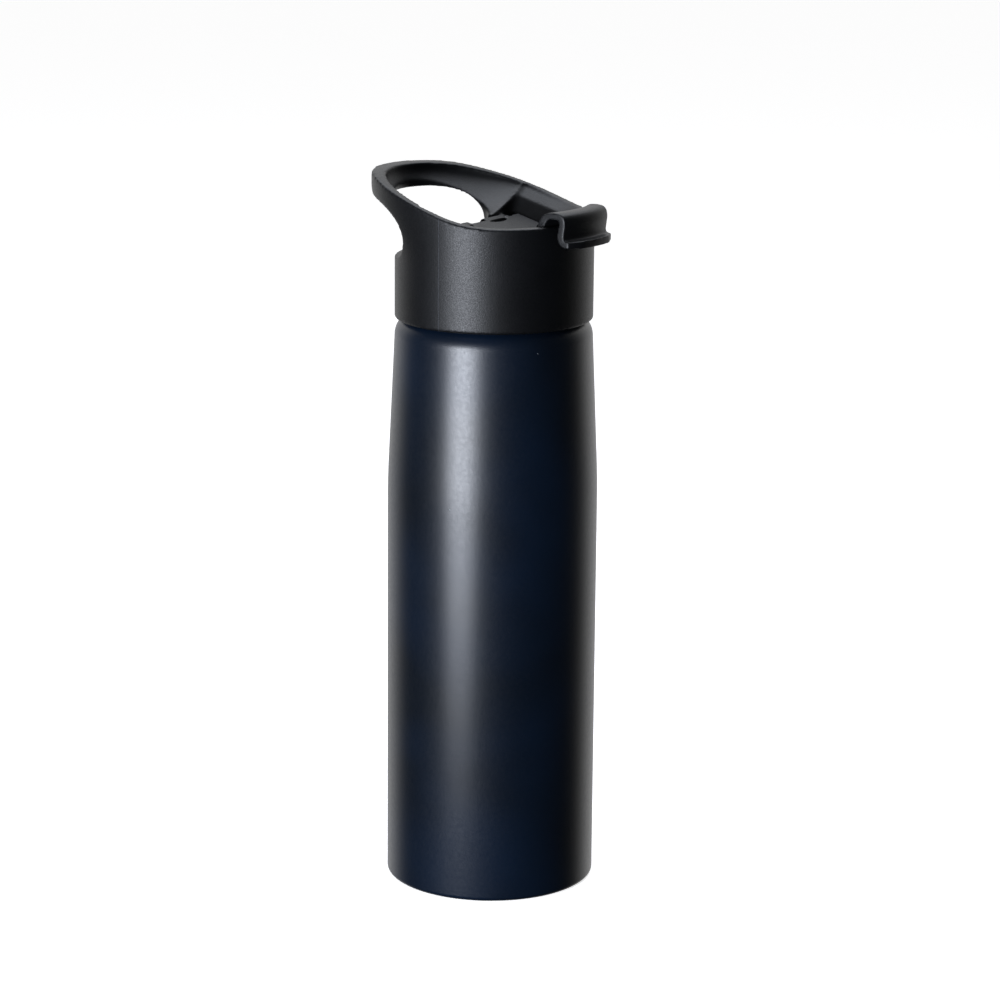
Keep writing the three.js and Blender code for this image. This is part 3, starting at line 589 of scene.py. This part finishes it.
def getter_powder():
    """Pressed zirconium getter powder: dull, grainy grey."""
    powder = new_finish("pressed getter powder", Metallic=0.4)
    return grained(powder, 0.3, 4.0, 0.7, ("#5d5955", "#7a7671"), (0.75, 0.9), 0.05)


COAT = powder_coat()
PLASTIC = moulded_plastic()
SILICONE = moulded_silicone()
STEEL = polished_steel()
COPPER = bright_copper()
GLASS = sealing_glass()
GETTER = getter_powder()


# ------------------------------------------------------------------ bottle
def wall_upwards(inset, from_height, neck_radius, neck_top):
    """The bottle's wall as an outline, moved in by an inset."""
    radius = BODY_RADIUS - inset
    slope = TAPER_INSET / (SHOULDER_START - TAPER_START)
    bend = []
    for i in range(13):
        t = -1 + i / 6
        bend.append((radius - slope * TAPER_BLEND * (t + 1) ** 2 / 4, TAPER_START + t * TAPER_BLEND))
    centre = BODY_RADIUS - TAPER_INSET - SHOULDER_ROUND
    round_radius = SHOULDER_ROUND - inset
    end = math.degrees(math.acos((neck_radius - centre) / round_radius))
    shoulder = arc(centre, SHOULDER_START, round_radius, 0, end, 16)
    return [(radius, from_height), *bend, *shoulder, (neck_radius, neck_top)]


def neck_ridges(root, crest, start_height):
    """Steps that add one thread ridge for each start, from the root to the crest and back."""
    flank = [(root, 0.95), (crest - 0.3, 0.62), (crest, 0.35)]
    section = [(r, -z) for r, z in flank] + flank[::-1]
    turns = [i * 2 * math.pi / THREAD_STARTS for i in range(THREAD_STARTS)]
    return [("UNION", ridge(section, turn, start_height)) for turn in turns]


def bottle_wall():
    """The coated outer wall, from the foot ring up to the threaded neck."""
    foot = BODY_RADIUS - FOOT_ROUND
    neck_top = MOUTH - STEEL_WALL - 0.3
    outside = [
        (FOOT_INNER, 0.15), (FOOT_INNER + 0.15, 0), *arc(foot, FOOT_ROUND, FOOT_ROUND, -90, -9, 9),
        *wall_upwards(0, FOOT_ROUND, NECK_RADIUS, neck_top),
    ]
    inside = [
        (FOOT_INNER, STEEL_WALL), *arc(foot, FOOT_ROUND, FOOT_ROUND - STEEL_WALL, -90, -9, 5),
        *wall_upwards(STEEL_WALL, FOOT_ROUND, NECK_RADIUS - STEEL_WALL, neck_top),
    ]
    root = NECK_RADIUS - STEEL_WALL / 2
    ridges = neck_ridges(root, NECK_RADIUS + THREAD_DEPTH, SHOULDER_START + THREAD_RISE)
    return worked(spun(outside + inside[::-1]), *ridges)


def base_disc():
    """Pressed cover inside the foot ring, with a shallow raised ring."""
    under, over, edge = 0.3, 0.9, FOOT_INNER - 0.3
    raised = [(22, under), (22.6, under + 0.15), (24.4, under + 0.15), (25, under)]
    outline = filleted([(0, under), *raised, (edge, under, 0.2), (edge, over, 0.2), (0, over)], 3)
    return as_object(spun(outline))


# ------------------------------------------------------------------ lid
def outside_form():
    """The lid's outside before anything is cut: a drum whose back is drawn out towards the loop."""
    top = LOOP_TOP + 4
    rings = [(LID_RADIUS, SKIRT_EDGE + 2)]
    rings += [(LID_RADIUS, LEDGE + (top - LEDGE) * i / 40) for i in range(41)]
    bm = spun([(0, SKIRT_EDGE), (LID_RADIUS, SKIRT_EDGE), *rings, (0, top)], 256)

    def drawn_back(x, y, z):
        if x < 0:
            share = smooth_share(z, LEDGE, LOOP_TOP - LOOP_BAND / 2)
            x *= 1 + (LOOP_OVERHANG + BACK_LIFT) * share / LID_RADIUS
        return Vector((x, y, z))

    return reshaped(bm, drawn_back)


def under_rim():
    """Everything below the sloping rim."""
    front, back = LID_RADIUS + 5, -LOOP_BACK - 5
    xs = [front + (back - front) * i / 140 for i in range(141)]
    curve = [(x, rim_height(x) + CREST_LIFT * smooth_share(-x, -20, 20)) for x in xs]
    return prism([(back, SKIRT_EDGE - 1), (front, SKIRT_EDGE - 1), *curve], "Y", -REACH, REACH)


def hole_reach(ux, uy):
    """How far the finger hole goes from its centre in a direction."""
    along = HOLE_FRONT_REACH if ux > 0 else -HOLE_END - HOLE_CENTRE
    return 1 / math.hypot(ux / along, uy / HOLE_HALF_WIDTH)


def land_reach(ux, uy):
    """How far the rim's land is from the finger hole's centre in a direction."""
    across = LID_RADIUS - RIM_LAND

    def crossing(along):
        a = (ux / along) ** 2 + (uy / across) ** 2
        b = -2 * HOLE_CENTRE * ux / along ** 2
        c = (HOLE_CENTRE / along) ** 2 - 1
        return (-b + math.sqrt(b * b - 4 * a * c)) / (2 * a)

    behind = crossing(LOOP_BACK - LOOP_LAND)
    return behind if behind * ux < HOLE_CENTRE else crossing(across)


def finger_hole():
    """The hole through the loop, down to the ledge."""
    top = LOOP_TOP + 4

    def widened(x, y, z):
        reach = hole_reach(x, y) if x or y else 0
        return Vector((x * reach - HOLE_CENTRE, y * reach, z))

    bm = reshaped(spun([(0, LEDGE), (1, LEDGE), (1, top), (0, top)]), widened)
    hole = worked(bm, ("INTERSECT", block(-REACH, HOLE_FRONT, -REACH, REACH, LEDGE, top)))
    return to_bmesh(hole)


def edge_depth(x):
    """How far the finger hole's edge is below the rim."""
    share = (x - HOLE_FRONT) / (HOLE_END - HOLE_FRONT)
    return FUNNEL_FRONT_DEPTH + (FUNNEL_BACK_DEPTH - FUNNEL_FRONT_DEPTH) * share


def funnel():
    """The dished surface from the rim's land down to the finger hole."""
    steps = 14
    rings = [(1 + i / steps, i / steps) for i in range(steps + 1)]

    def dished(x, y, z):
        radius = math.hypot(x, y)
        ux, uy = (x / radius, y / radius) if radius > 0 else (1, 0)
        edge, land = hole_reach(ux, uy), land_reach(ux, uy)
        edge_x = edge * ux - HOLE_CENTRE
        edge_z = rim_height(edge_x) - edge_depth(edge_x)
        land_z = rim_height(land * ux - HOLE_CENTRE)
        share = min(1.0, max(0.0, radius - 1))
        reach = edge + (land - edge) * share if radius > 1 else edge * radius
        curve = 0.87 - 0.3 * smooth_share(-reach * ux, -HOLE_CENTRE, 20)
        height = edge_z + (land_z - edge_z) * (1 - (1 - share) ** curve)
        if z > 1:
            height = LOOP_TOP + 10
        return Vector((reach * ux - HOLE_CENTRE, reach * uy, height))

    bm = reshaped(spun([(0, 0), *rings, (2, 2), (0, 2)]), dished)
    front = RECESS_BACK + 0.05
    cut = worked(bm, ("INTERSECT", block(-REACH, front, -REACH, REACH, LEDGE, LOOP_TOP + 5)))
    return to_bmesh(cut)


def bezier(p0, p1, p2, p3, steps):
    """Points along a cubic curve, without its first point."""
    made = []
    for i in range(1, steps + 1):
        t = i / steps
        weights = ((1 - t) ** 3, 3 * t * (1 - t) ** 2, 3 * t * t * (1 - t), t ** 3)
        points = list(zip(weights, (p0, p1, p2, p3)))
        made.append(tuple(sum(weight * point[k] for weight, point in points) for k in (0, 1)))
    return made


def finger_notch():
    """The notch through both sides and out of the back, under the loop."""
    underside = LOOP_TOP - LOOP_BAND
    middle = LEDGE + 7.8
    front = -NOTCH_FRONT
    start, deepest, end = (front - 9.5, LEDGE), (front, middle), (front - 21.5, underside)
    lower = bezier(start, (front - 3.5, LEDGE), (front, middle - 3.8), deepest, 20)
    upper = bezier(deepest, (front, middle + 5.7), (front - 8.5, underside), end, 24)
    outline = [(-REACH, LEDGE), start, *lower, *upper, (-REACH, underside)]
    return prism(outline, "Y", -REACH, REACH)


def follow_rim(bm):
    """Lifts a form that was drawn for a level rim so that it follows the slope."""
    return reshaped(bm, lambda x, y, z: Vector((x, y, z + rim_height(x) - RIM_FRONT)))


def half_form(outline, back, corner=2.4):
    """A form that is round in front of the axis and straight-sided behind it, back to the given X."""
    bottom, top = outline[0][1], outline[-1][1]

    def rounded_corner(x, y, z):
        beyond = max(0.0, corner - (x - back))
        inset = corner - math.sqrt(max(0.0, corner * corner - beyond * beyond))
        return Vector((x, math.copysign(abs(y) - inset, y), z))

    mirrored = [(-r, z) for r, z in outline][::-1]
    behind = reshaped(prism([*outline, *mirrored], "X", back, 0.01, 24), rounded_corner)
    made = worked(
        spun([(0, bottom), *outline, (0, top)], 256),
        ("INTERSECT", block(0, REACH, -REACH, REACH, bottom - 1, top + 1)),
        ("UNION", behind),
    )
    return to_bmesh(made)


def recess_mouth():
    """The cap's recess above the flap: steep at first, then flared out to the rim's land."""
    outline = [
        (RECESS_RADIUS, RIM_FRONT - FLAP_DROP - 0.5),
        (RECESS_RADIUS + RECESS_DRAFT, RIM_FRONT - BAND_DROP),
        (LID_RADIUS - RIM_LAND, RIM_FRONT),
        (LID_RADIUS - RIM_LAND, RIM_FRONT + 5),
    ]
    return follow_rim(half_form(outline, RECESS_BACK))


def recess_well():
    """The recess below the flap, down to the deck."""
    top = rim_height(RECESS_BACK) - FLAP_DROP
    return half_form([(RECESS_RADIUS, DECK_TOP - 1), (RECESS_RADIUS, top)], RECESS_BACK)


def ring_part(inner, outer, bottom, top, front, half_width=REACH):
    """A ring, or a disc where inner is 0, kept only in front of an X and within a half width."""
    outline = [(inner, bottom), (outer, bottom), (outer, top), (inner, top)]
    kept = block(front, REACH, -half_width, half_width, bottom - 1, top + 1)
    return to_bmesh(worked(spun(outline), ("INTERSECT", kept)))


def pin_hole():
    """One bore through the barrels and lugs."""
    end = BARREL_INNER + PIN_LENGTH + 0.8
    return bar(PIN_RADIUS + 0.1, HINGE_X, HINGE_Z, -end, end)


def on_side(side, inner, outer):
    """The span from inner to outer on the left, side 1, or the right, side -1."""
    return (inner, outer) if side > 0 else (-outer, -inner)


def lug(side):
    """The lid's lug outside a hinge barrel, on its arm from the bulkhead."""
    y0, y1 = on_side(side, LUG_INNER, LUG_INNER + LUG_WIDTH)
    arm = block(RECESS_BACK - 0.5, HINGE_X, y0, y1, HINGE_Z - LUG_RADIUS, HINGE_Z + LUG_RADIUS)
    return [("UNION", bar(LUG_RADIUS, HINGE_X, HINGE_Z, y0, y1)), ("UNION", arm)]


def collar_and_loop():
    """The lid's outer moulding: collar, carry loop, recess, bulkhead and hinge lugs."""
    skirt_bore, skirt_top = LID_RADIUS - SKIRT_WALL, DECK_TOP + 0.3
    gate_low = HINGE_Z - BARREL_RADIUS
    cuts = [
        finger_notch(),
        finger_hole(),
        funnel(),
        block(HOLE_FRONT - 0.1, RECESS_BACK + 0.1, -BULKHEAD_GATE, BULKHEAD_GATE, gate_low, LOOP_TOP),
        recess_mouth(),
        recess_well(),
        ring_part(0, LID_RADIUS - RIM_LAND + 1, SLOT_FLOOR, RIM_FRONT + 5, 0, HOOK_HALF_WIDTH + 0.7),
        spun([(0, SKIRT_EDGE - 1), (skirt_bore, SKIRT_EDGE - 1), (skirt_bore, skirt_top), (0, skirt_top)]),
        ring_part(RECESS_RADIUS + CORING_WALL, skirt_bore, DECK_TOP, SLOT_FLOOR - 1.5, HINGE_X + CORING_WALL),
    ]
    return worked(
        outside_form(), ("INTERSECT", under_rim()), *[("DIFFERENCE", cut) for cut in cuts],
        *lug(1), *lug(-1), ("DIFFERENCE", pin_hole()),
    )


def soft_lid_edge(x, y, z):
    """1 on the edges that are rolled over generously: outside the rim, on the bulkhead's ridge and
    round the finger hole."""
    rim = rim_height(x)
    share = smooth_share(z, LEDGE, LOOP_TOP - LOOP_BAND / 2)
    across = x / (1 + LOOP_OVERHANG * share / LID_RADIUS) if x < 0 else x
    if z > rim - 3 and math.hypot(across, y) > LID_RADIUS - 1.2:
        return 0.5 + 0.5 * smooth_share(-x, 10, 30)
    if HOLE_FRONT - 1.5 < x < RECESS_BACK + 1.5 and LEDGE + 4 < z < rim - 0.6:
        return 1.0
    if x < HOLE_FRONT and LEDGE + 4 < z < rim - 2.6:
        length = math.hypot(x + HOLE_CENTRE, y)
        ratio = length / hole_reach((x + HOLE_CENTRE) / length, y / length)
        return 1.0 if 0.88 < ratio < 1.2 else 0.0
    return 0.0


def lid_core():
    """Inner lid: thread, deck, plug ring, drinking spout and vent post."""
    ring_outer, ring_inner = PLUG_RING_RADIUS, PLUG_RING_RADIUS - 1.1
    ring_bottom = MOUTH - 3
    skirt_bottom = DECK_TOP - 18.1
    outline = [
        (0, DECK_UNDERSIDE), (ring_inner, DECK_UNDERSIDE), (ring_inner, ring_bottom),
        (ring_outer, ring_bottom), (ring_outer, DECK_UNDERSIDE),
        (CORE_BORE, DECK_UNDERSIDE), (CORE_BORE, skirt_bottom), (CORE_RADIUS, skirt_bottom),
        (CORE_RADIUS, DECK_TOP - 0.4), (CORE_RADIUS - 0.4, DECK_TOP), (0, DECK_TOP),
    ]
    root = CORE_BORE + 0.7
    start = SHOULDER_START + THREAD_RISE - THREAD_LEAD / THREAD_STARTS / 2
    spout_top, vent_top = DECK_TOP + SPOUT_HEIGHT, DECK_TOP + VENT_HEIGHT
    spout_outer, vent_outer = SPOUT_BORE + SPOUT_WALL, VENT_BORE + VENT_WALL
    spout = [
        (0, DECK_TOP - 1), (spout_outer, DECK_TOP - 1),
        *arc(spout_outer + 0.8, DECK_TOP + 0.8, 0.8, 270, 180, 5),
        *arc(spout_outer - 0.7, spout_top - 0.7, 0.7, 0, 90, 6), (0, spout_top),
    ]
    vent = [
        (0, DECK_TOP - 1), (vent_outer + 0.3, DECK_TOP - 1),
        *arc(vent_outer + 0.6, DECK_TOP + 0.6, 0.6, 270, 180, 4),
        *arc(vent_outer - 0.5, vent_top - 0.5, 0.5, 0, 90, 5), (0, vent_top),
    ]
    bore = [
        (0, ring_bottom), (SPOUT_BORE, ring_bottom),
        *arc(SPOUT_BORE + 0.6, spout_top - 0.6, 0.6, 180, 90, 5),
        (SPOUT_BORE + 0.6, spout_top + 1), (0, spout_top + 1),
    ]
    vent_bore = [(0, ring_bottom), (VENT_BORE, ring_bottom), (VENT_BORE, vent_top + 1), (0, vent_top + 1)]
    return worked(
        spun(outline), *neck_ridges(root, CORE_BORE - THREAD_DEPTH, start),
        ("UNION", shifted(spun(spout, 96), SPOUT_X)), ("UNION", shifted(spun(vent, 48), VENT_X)),
        ("DIFFERENCE", shifted(spun(bore, 96), SPOUT_X)),
        ("DIFFERENCE", shifted(spun(vent_bore, 32), VENT_X)),
    )


# ------------------------------------------------------------------ flip cap
def cap_top(x):
    """Height of the flap's upper face."""
    return rim_height(x) - FLAP_DROP


def cap_plate():
    """The flap's outline pushed up and down, and the sloping layer that it is cut from."""
    outline = [(FLAP_RADIUS, cap_top(0) - 12), (FLAP_RADIUS, cap_top(0) + 12)]
    plan = half_form(outline, -FLAP_BACK, 0.6)
    xs = [-FLAP_BACK - 1 + (FLAP_RADIUS + FLAP_BACK + 2) * i / 40 for i in range(41)]
    under = [(x, cap_top(x) - FLAP_WALL) for x in xs]
    over = [(x, cap_top(x)) for x in xs][::-1]
    return plan, prism(under + over, "Y", -FLAP_RADIUS - 1, FLAP_RADIUS + 1)


def smooth_line(points, rounds=3):
    """Cuts the corners off a line until it is a smooth curve with the same ends."""
    for _ in range(rounds):
        made = [points[0]]
        for a, b in zip(points, points[1:]):
            made.append(a.lerp(b, 0.25))
            made.append(a.lerp(b, 0.75))
        points = [*made, points[-1]]
    return points


def ribbon(points, half_width, end_width):
    """The outline of a strip along a smooth line, in radius and height."""
    line = smooth_line([Vector(p) for p in points])
    left, right = [], []
    for i, point in enumerate(line):
        ahead = (line[min(i + 1, len(line) - 1)] - line[max(i - 1, 0)]).normalized()
        side = Vector((-ahead.y, ahead.x))
        width = half_width + (end_width - half_width) * smooth_share(i / (len(line) - 1), 0.93, 1.0)
        left.append(tuple(point + side * width))
        right.append(tuple(point - side * width))
    return left + right[::-1]


# The middle of the thumb hook's wall: off the flap, up over the rim, down outside it and out to the lip.
HOOK_LINE = [
    (18.5, 227.7), (21.5, 227.75), (24.2, 228.9), (27.8, 232.8), (30.9, 236.8), (31.8, 238.9),
    (33.2, 240.5), (35.8, 240.75), (38.5, 240.5), (39.0, 238.2), (38.5, 235.4), (38.3, 233.0),
    (39.2, 231.45), (42.9, 231.3),
]


def thumb_hook():
    """The hook over the rim: a strip spun round the axis, cut to its width and to a rounded lip."""
    outer = HOOK_LINE[-1][0] + 0.6
    plan = [(0, BELOW_CAP), (HOOK_PLAN_RADIUS, BELOW_CAP), (HOOK_PLAN_RADIUS, ABOVE_CAP), (0, ABOVE_CAP)]
    hook = worked(
        spun(ribbon(HOOK_LINE, HOOK_WALL / 2, 1.4), 256),
        ("INTERSECT", block(0, REACH, -HOOK_HALF_WIDTH, HOOK_HALF_WIDTH, BELOW_CAP, ABOVE_CAP)),
        ("INTERSECT", shifted(spun(plan), outer - HOOK_PLAN_RADIUS)),
    )
    return to_bmesh(hook)


def relief(side):
    """The moulding pocket in front of a hinge barrel: a lens-shaped slot."""
    middle = side * (BARREL_INNER + BARREL_OUTER) / 2
    half_length = (BARREL_OUTER - BARREL_INNER) / 2 - 0.2
    front = HINGE_X + BARREL_RADIUS + 0.3
    bm = spun([(0, 0), (1, 0), (1, 1), (0, 1)], 64)

    def lens(x, y, z):
        across = front + 1 + x * (1 - 0.4 * y * y) - 0.5 * y * y
        return Vector((across, middle + y * half_length, cap_top(front) - 1.5 + z * 6))

    return reshaped(bm, lens)


def flap_and_hook():
    """The cap's moulding: flap, thumb hook, hinge barrels and the stopper's seat."""
    plan, layer = cap_plate()
    seat_radius, seat_top = SPOUT_BORE + SPOUT_WALL + 0.2, cap_top(SPOUT_X) - 1
    seat_bottom = DECK_TOP + SPOUT_HEIGHT + 1.1 + 0.6
    seat = [(0, seat_bottom), (seat_radius, seat_bottom), (seat_radius, seat_top), (0, seat_top)]
    stud_low, stud_high = seat_bottom - 1, seat_bottom + 1.5
    stud = [(0, stud_low), (2.5, stud_low), (2.5, stud_high), (0, stud_high)]
    steps = [("INTERSECT", layer)]
    for side in (1, -1):
        y0, y1 = on_side(side, BARREL_OUTER + 0.1, LUG_INNER + LUG_WIDTH + 0.3)
        room = block(-REACH, HINGE_X + LUG_RADIUS + 0.5, y0, y1, BELOW_CAP, ABOVE_CAP)
        steps.append(("DIFFERENCE", room))
    steps.append(("UNION", thumb_hook()))
    for side in (1, -1):
        y0, y1 = on_side(side, BARREL_INNER, BARREL_OUTER)
        steps.append(("UNION", bar(BARREL_RADIUS, HINGE_X, HINGE_Z, y0, y1)))
        steps.append(("DIFFERENCE", relief(side)))
    steps += [
        ("UNION", shifted(spun(seat, 96), SPOUT_X)), ("DIFFERENCE", shifted(spun(stud, 48), SPOUT_X)),
        ("DIFFERENCE", pin_hole()),
    ]
    return worked(plan, *steps)


def soft_hook_edge(x, y, z):
    """1 along the hook's outer leg and lip, whose ends are rounded over."""
    return 1.0 if x > 30 and z > RIM_FRONT - 8 else 0.0


def spout_stopper():
    """Silicone stopper: a stem that tapers, a soft flange and a stud that buttons into the cap."""
    low = DECK_TOP + SPOUT_HEIGHT + 0.3
    stem, flange, stud = SPOUT_BORE - 0.3, SPOUT_BORE + SPOUT_WALL - 0.2, 2.2
    outline = filleted([
        (0, low - 2.2), (stem - 1.1, low - 2.2, 0.6), (stem, low, 0.1),
        (flange, low, 0.3), (flange, low + 1.1, 0.3),
        (stud, low + 1.1, 0.1), (stud, low + 2.6, 0.4), (0, low + 2.6),
    ])
    return as_object(shifted(spun(outline, 96), SPOUT_X))


def vent_seal():
    """A flat silicone pad under the flap, over the vent post."""
    radius = VENT_BORE + 0.9
    bottom, top = DECK_TOP + VENT_HEIGHT + 0.3, cap_top(VENT_X + radius) - FLAP_WALL - 0.3
    outline = filleted([(0, bottom), (radius, bottom, 0.3), (radius, top, 0.1), (0, top)])
    return as_object(shifted(spun(outline, 48), VENT_X))


def gasket_ring():
    """The silicone ring on the mouth's lip."""
    inner, outer = PLUG_RING_RADIUS + 0.3, CORE_BORE - 0.3
    bottom, top = MOUTH + 0.3, MOUTH + 2
    outline = filleted([(inner, bottom, 0.4), (outer, bottom, 0.4), (outer, top, 0.4), (inner, top, 0.4)])
    return as_object(spun(outline))


def liner():
    """The steel liner inside the vacuum gap, with its rounded bottom and its lip over the neck."""
    inset = STEEL_WALL + 2.6
    bottom, corner = 8.5, 9
    corner_r, corner_z = BODY_RADIUS - inset - corner, bottom + corner
    neck = NECK_RADIUS - STEEL_WALL - 0.5
    under_lip = MOUTH - STEEL_WALL
    outside = [
        (0, bottom), *arc(corner_r, corner_z, corner, -90, -6, 14),
        *wall_upwards(inset, corner_z, neck, under_lip),
        (NECK_RADIUS, under_lip), (NECK_RADIUS, MOUTH - 0.15), (NECK_RADIUS - 0.15, MOUTH),
    ]
    inside = [
        (0, bottom + STEEL_WALL), *arc(corner_r, corner_z, corner - STEEL_WALL, -90, -6, 14),
        *wall_upwards(inset + STEEL_WALL, corner_z, neck - STEEL_WALL, MOUTH),
    ]
    return as_object(spun(outside + inside[::-1]))


def hinge_pin(side):
    """A short steel pin in one barrel and its lug."""
    start = BARREL_INNER + 0.5
    y0, y1 = on_side(side, start, start + PIN_LENGTH)
    return as_object(bar(PIN_RADIUS, HINGE_X, HINGE_Z, y0, y1, 0.15, 32))


finished(bottle_wall(), "bottle_wall", "bottle", COAT, ["outer_shell"])
finished(base_disc(), "base_disc", "bottle", COAT, ["base_cover"])
finished(liner(), "steel_liner", "bottle", STEEL, ["inner_flask"])
lid = softened(collar_and_loop(), 0.54, 3, soft_lid_edge, 11)
finished(lid, "collar_and_loop", "lid", PLASTIC, ["lid_shell"], MOULDED_CREASE)
finished(lid_core(), "spout_deck", "lid", PLASTIC, ["lid_core"])
finished(gasket_ring(), "gasket_ring", "gasket", SILICONE, ["lid_gasket"])
finished(hinge_pin(1), "pin_left", "lid", STEEL, ["hinge_pin_left"])
finished(hinge_pin(-1), "pin_right", "lid", STEEL, ["hinge_pin_right"])
cap = softened(flap_and_hook(), 0.33, 4, soft_hook_edge, 5)
finished(cap, "flap_and_hook", "cap", PLASTIC, ["flip_cap"], MOULDED_CREASE)
finished(spout_stopper(), "spout_stopper", "cap", SILICONE, ["spout_plug"])
finished(vent_seal(), "vent_seal", "cap", SILICONE, ["vent_pad"])

# These nodes keep their CAD shape and get a finish only.
carried = {
    "foil_shield": COPPER, "base_plate": STEEL, "seal_bead": GLASS, "getter_holder": STEEL,
    "getter_pellet": GETTER,
}
for name, material in carried.items():
    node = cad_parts[name]
    node.data.materials.clear()
    node.data.materials.append(material)


# ------------------------------------------------------------------ floor, light and camera
CAMERA_AZIMUTH = math.radians(35.5)
CAMERA_DISTANCE = 1.19274
CAMERA_HEIGHT = 0.43038
CAMERA_SIDE = 0.00265
CAMERA_PITCH = 0.24231
CAMERA_ROLL = math.radians(0.5)
FOCAL = 126.48
TOWARDS = Vector((math.sin(CAMERA_AZIMUTH), -math.cos(CAMERA_AZIMUTH), 0))
RIGHT = Vector((math.cos(CAMERA_AZIMUTH), math.sin(CAMERA_AZIMUTH), 0))

FLOOR_GLOW = 0.78
BACKDROP_EDGE = 0.33
BACKDROP_FULL = 0.75
BACKDROP_LEVEL = 1.0
ROOM_LEVEL = 0.02
LIGHT_COLOUR = (0.95, 1.0, 1.1)
KEY_PLACE, KEY_AIM, KEY_SIZE, KEY_POWER = (-0.56, 0.83, 0.12), 0.15, (0.46, 0.5), 20
TOP_PLACE, TOP_AIM, TOP_SIZE, TOP_POWER = (0.0, -0.25, 1.0), 0.22, (0.9, 0.7), 7


def studio_point(right, towards, up):
    """A place given as the camera sees it: to the right, towards the camera and up."""
    return RIGHT * right + TOWARDS * towards + Vector((0, 0, up))


def softbox(name, place, aim_height, size, power):
    """A soft rectangular light turned to a height on the bottle's axis."""
    light = bpy.data.lights.new(name, "AREA")
    light.shape = "RECTANGLE"
    light.size, light.size_y = size
    light.energy = power
    light.color = LIGHT_COLOUR
    obj = bpy.data.objects.new(name, light)
    obj.location = place
    obj.rotation_mode = "QUATERNION"
    obj.rotation_quaternion = (Vector((0, 0, aim_height)) - place).to_track_quat("-Z", "Y")
    obj.visible_camera = False
    scene.collection.objects.link(obj)


def white_paper():
    """White seamless paper: matt, with a faint pulp, lit up so that it stays as pale as the background."""
    material, place = new_finish(
        "white paper sweep", Roughness=0.9, Specular_IOR_Level=0.0, Emission_Color=(1, 1, 1, 1),
        Emission_Strength=FLOOR_GLOW,
    )
    pulp = add_node(material, NOISE, {"Vector": place, "Scale": per_mm(3)})
    colour = add_node(material, RAMP, {"Fac": pulp}, [(0.3, "#fbfbfb"), (0.7, "#ffffff")])
    return shaded(material, colour)


def paper_floor():
    bm = bmesh.new()
    bmesh.ops.create_circle(bm, cap_ends=True, segments=96, radius=6)
    floor = as_object(bm, "floor")
    floor.data.materials.append(white_paper())
    floor.visible_glossy = False
    floor.visible_diffuse = False


def surroundings():
    """White to the eye. In reflections, a pale backdrop behind the object that fades to a dark room."""
    world = bpy.data.worlds.new("studio")
    world.use_nodes = True
    scene.world = world
    path = add_node(world, "ShaderNodeLightPath")
    outwards = add_node(world, TEXTURE_PLACE).outputs["Generated"]
    facing = add_node(world, "ShaderNodeVectorMath", {0: outwards, 1: -TOWARDS}, operation="DOT_PRODUCT")
    levels = {
        "Value": facing.outputs["Value"], "From Min": BACKDROP_EDGE, "From Max": BACKDROP_FULL,
        "To Min": ROOM_LEVEL, "To Max": BACKDROP_LEVEL,
    }
    spread = add_node(world, "ShaderNodeMapRange", levels, interpolation_type="SMOOTHSTEP")
    seen = {"Factor": path.outputs["Is Camera Ray"], "A": spread.outputs["Result"], "B": 1.0}
    strength = add_node(world, MIX, seen)
    background = world.node_tree.nodes["Background"]
    background.inputs["Color"].default_value = (1, 1, 1, 1)
    world.node_tree.links.new(output_of(strength), background.inputs["Strength"])


def camera():
    data = bpy.data.cameras.new("camera")
    data.lens = FOCAL
    data.sensor_width = 36
    data.clip_start, data.clip_end = 0.05, 30
    obj = bpy.data.objects.new("camera", data)
    scene.collection.objects.link(obj)
    ahead = -TOWARDS * math.cos(CAMERA_PITCH) - Vector((0, 0, math.sin(CAMERA_PITCH)))
    level = ahead.to_track_quat("-Z", "Y").to_matrix()
    obj.rotation_mode = "QUATERNION"
    obj.rotation_quaternion = (level @ Matrix.Rotation(CAMERA_ROLL, 3, "Z")).to_quaternion()
    obj.location = studio_point(CAMERA_SIDE, CAMERA_DISTANCE, CAMERA_HEIGHT)
    scene.camera = obj


paper_floor()
surroundings()
softbox("key softbox", studio_point(*KEY_PLACE), KEY_AIM, KEY_SIZE, KEY_POWER)
softbox("top softbox", studio_point(*TOP_PLACE), TOP_AIM, TOP_SIZE, TOP_POWER)
camera()
scene.view_settings.view_transform = "Standard"
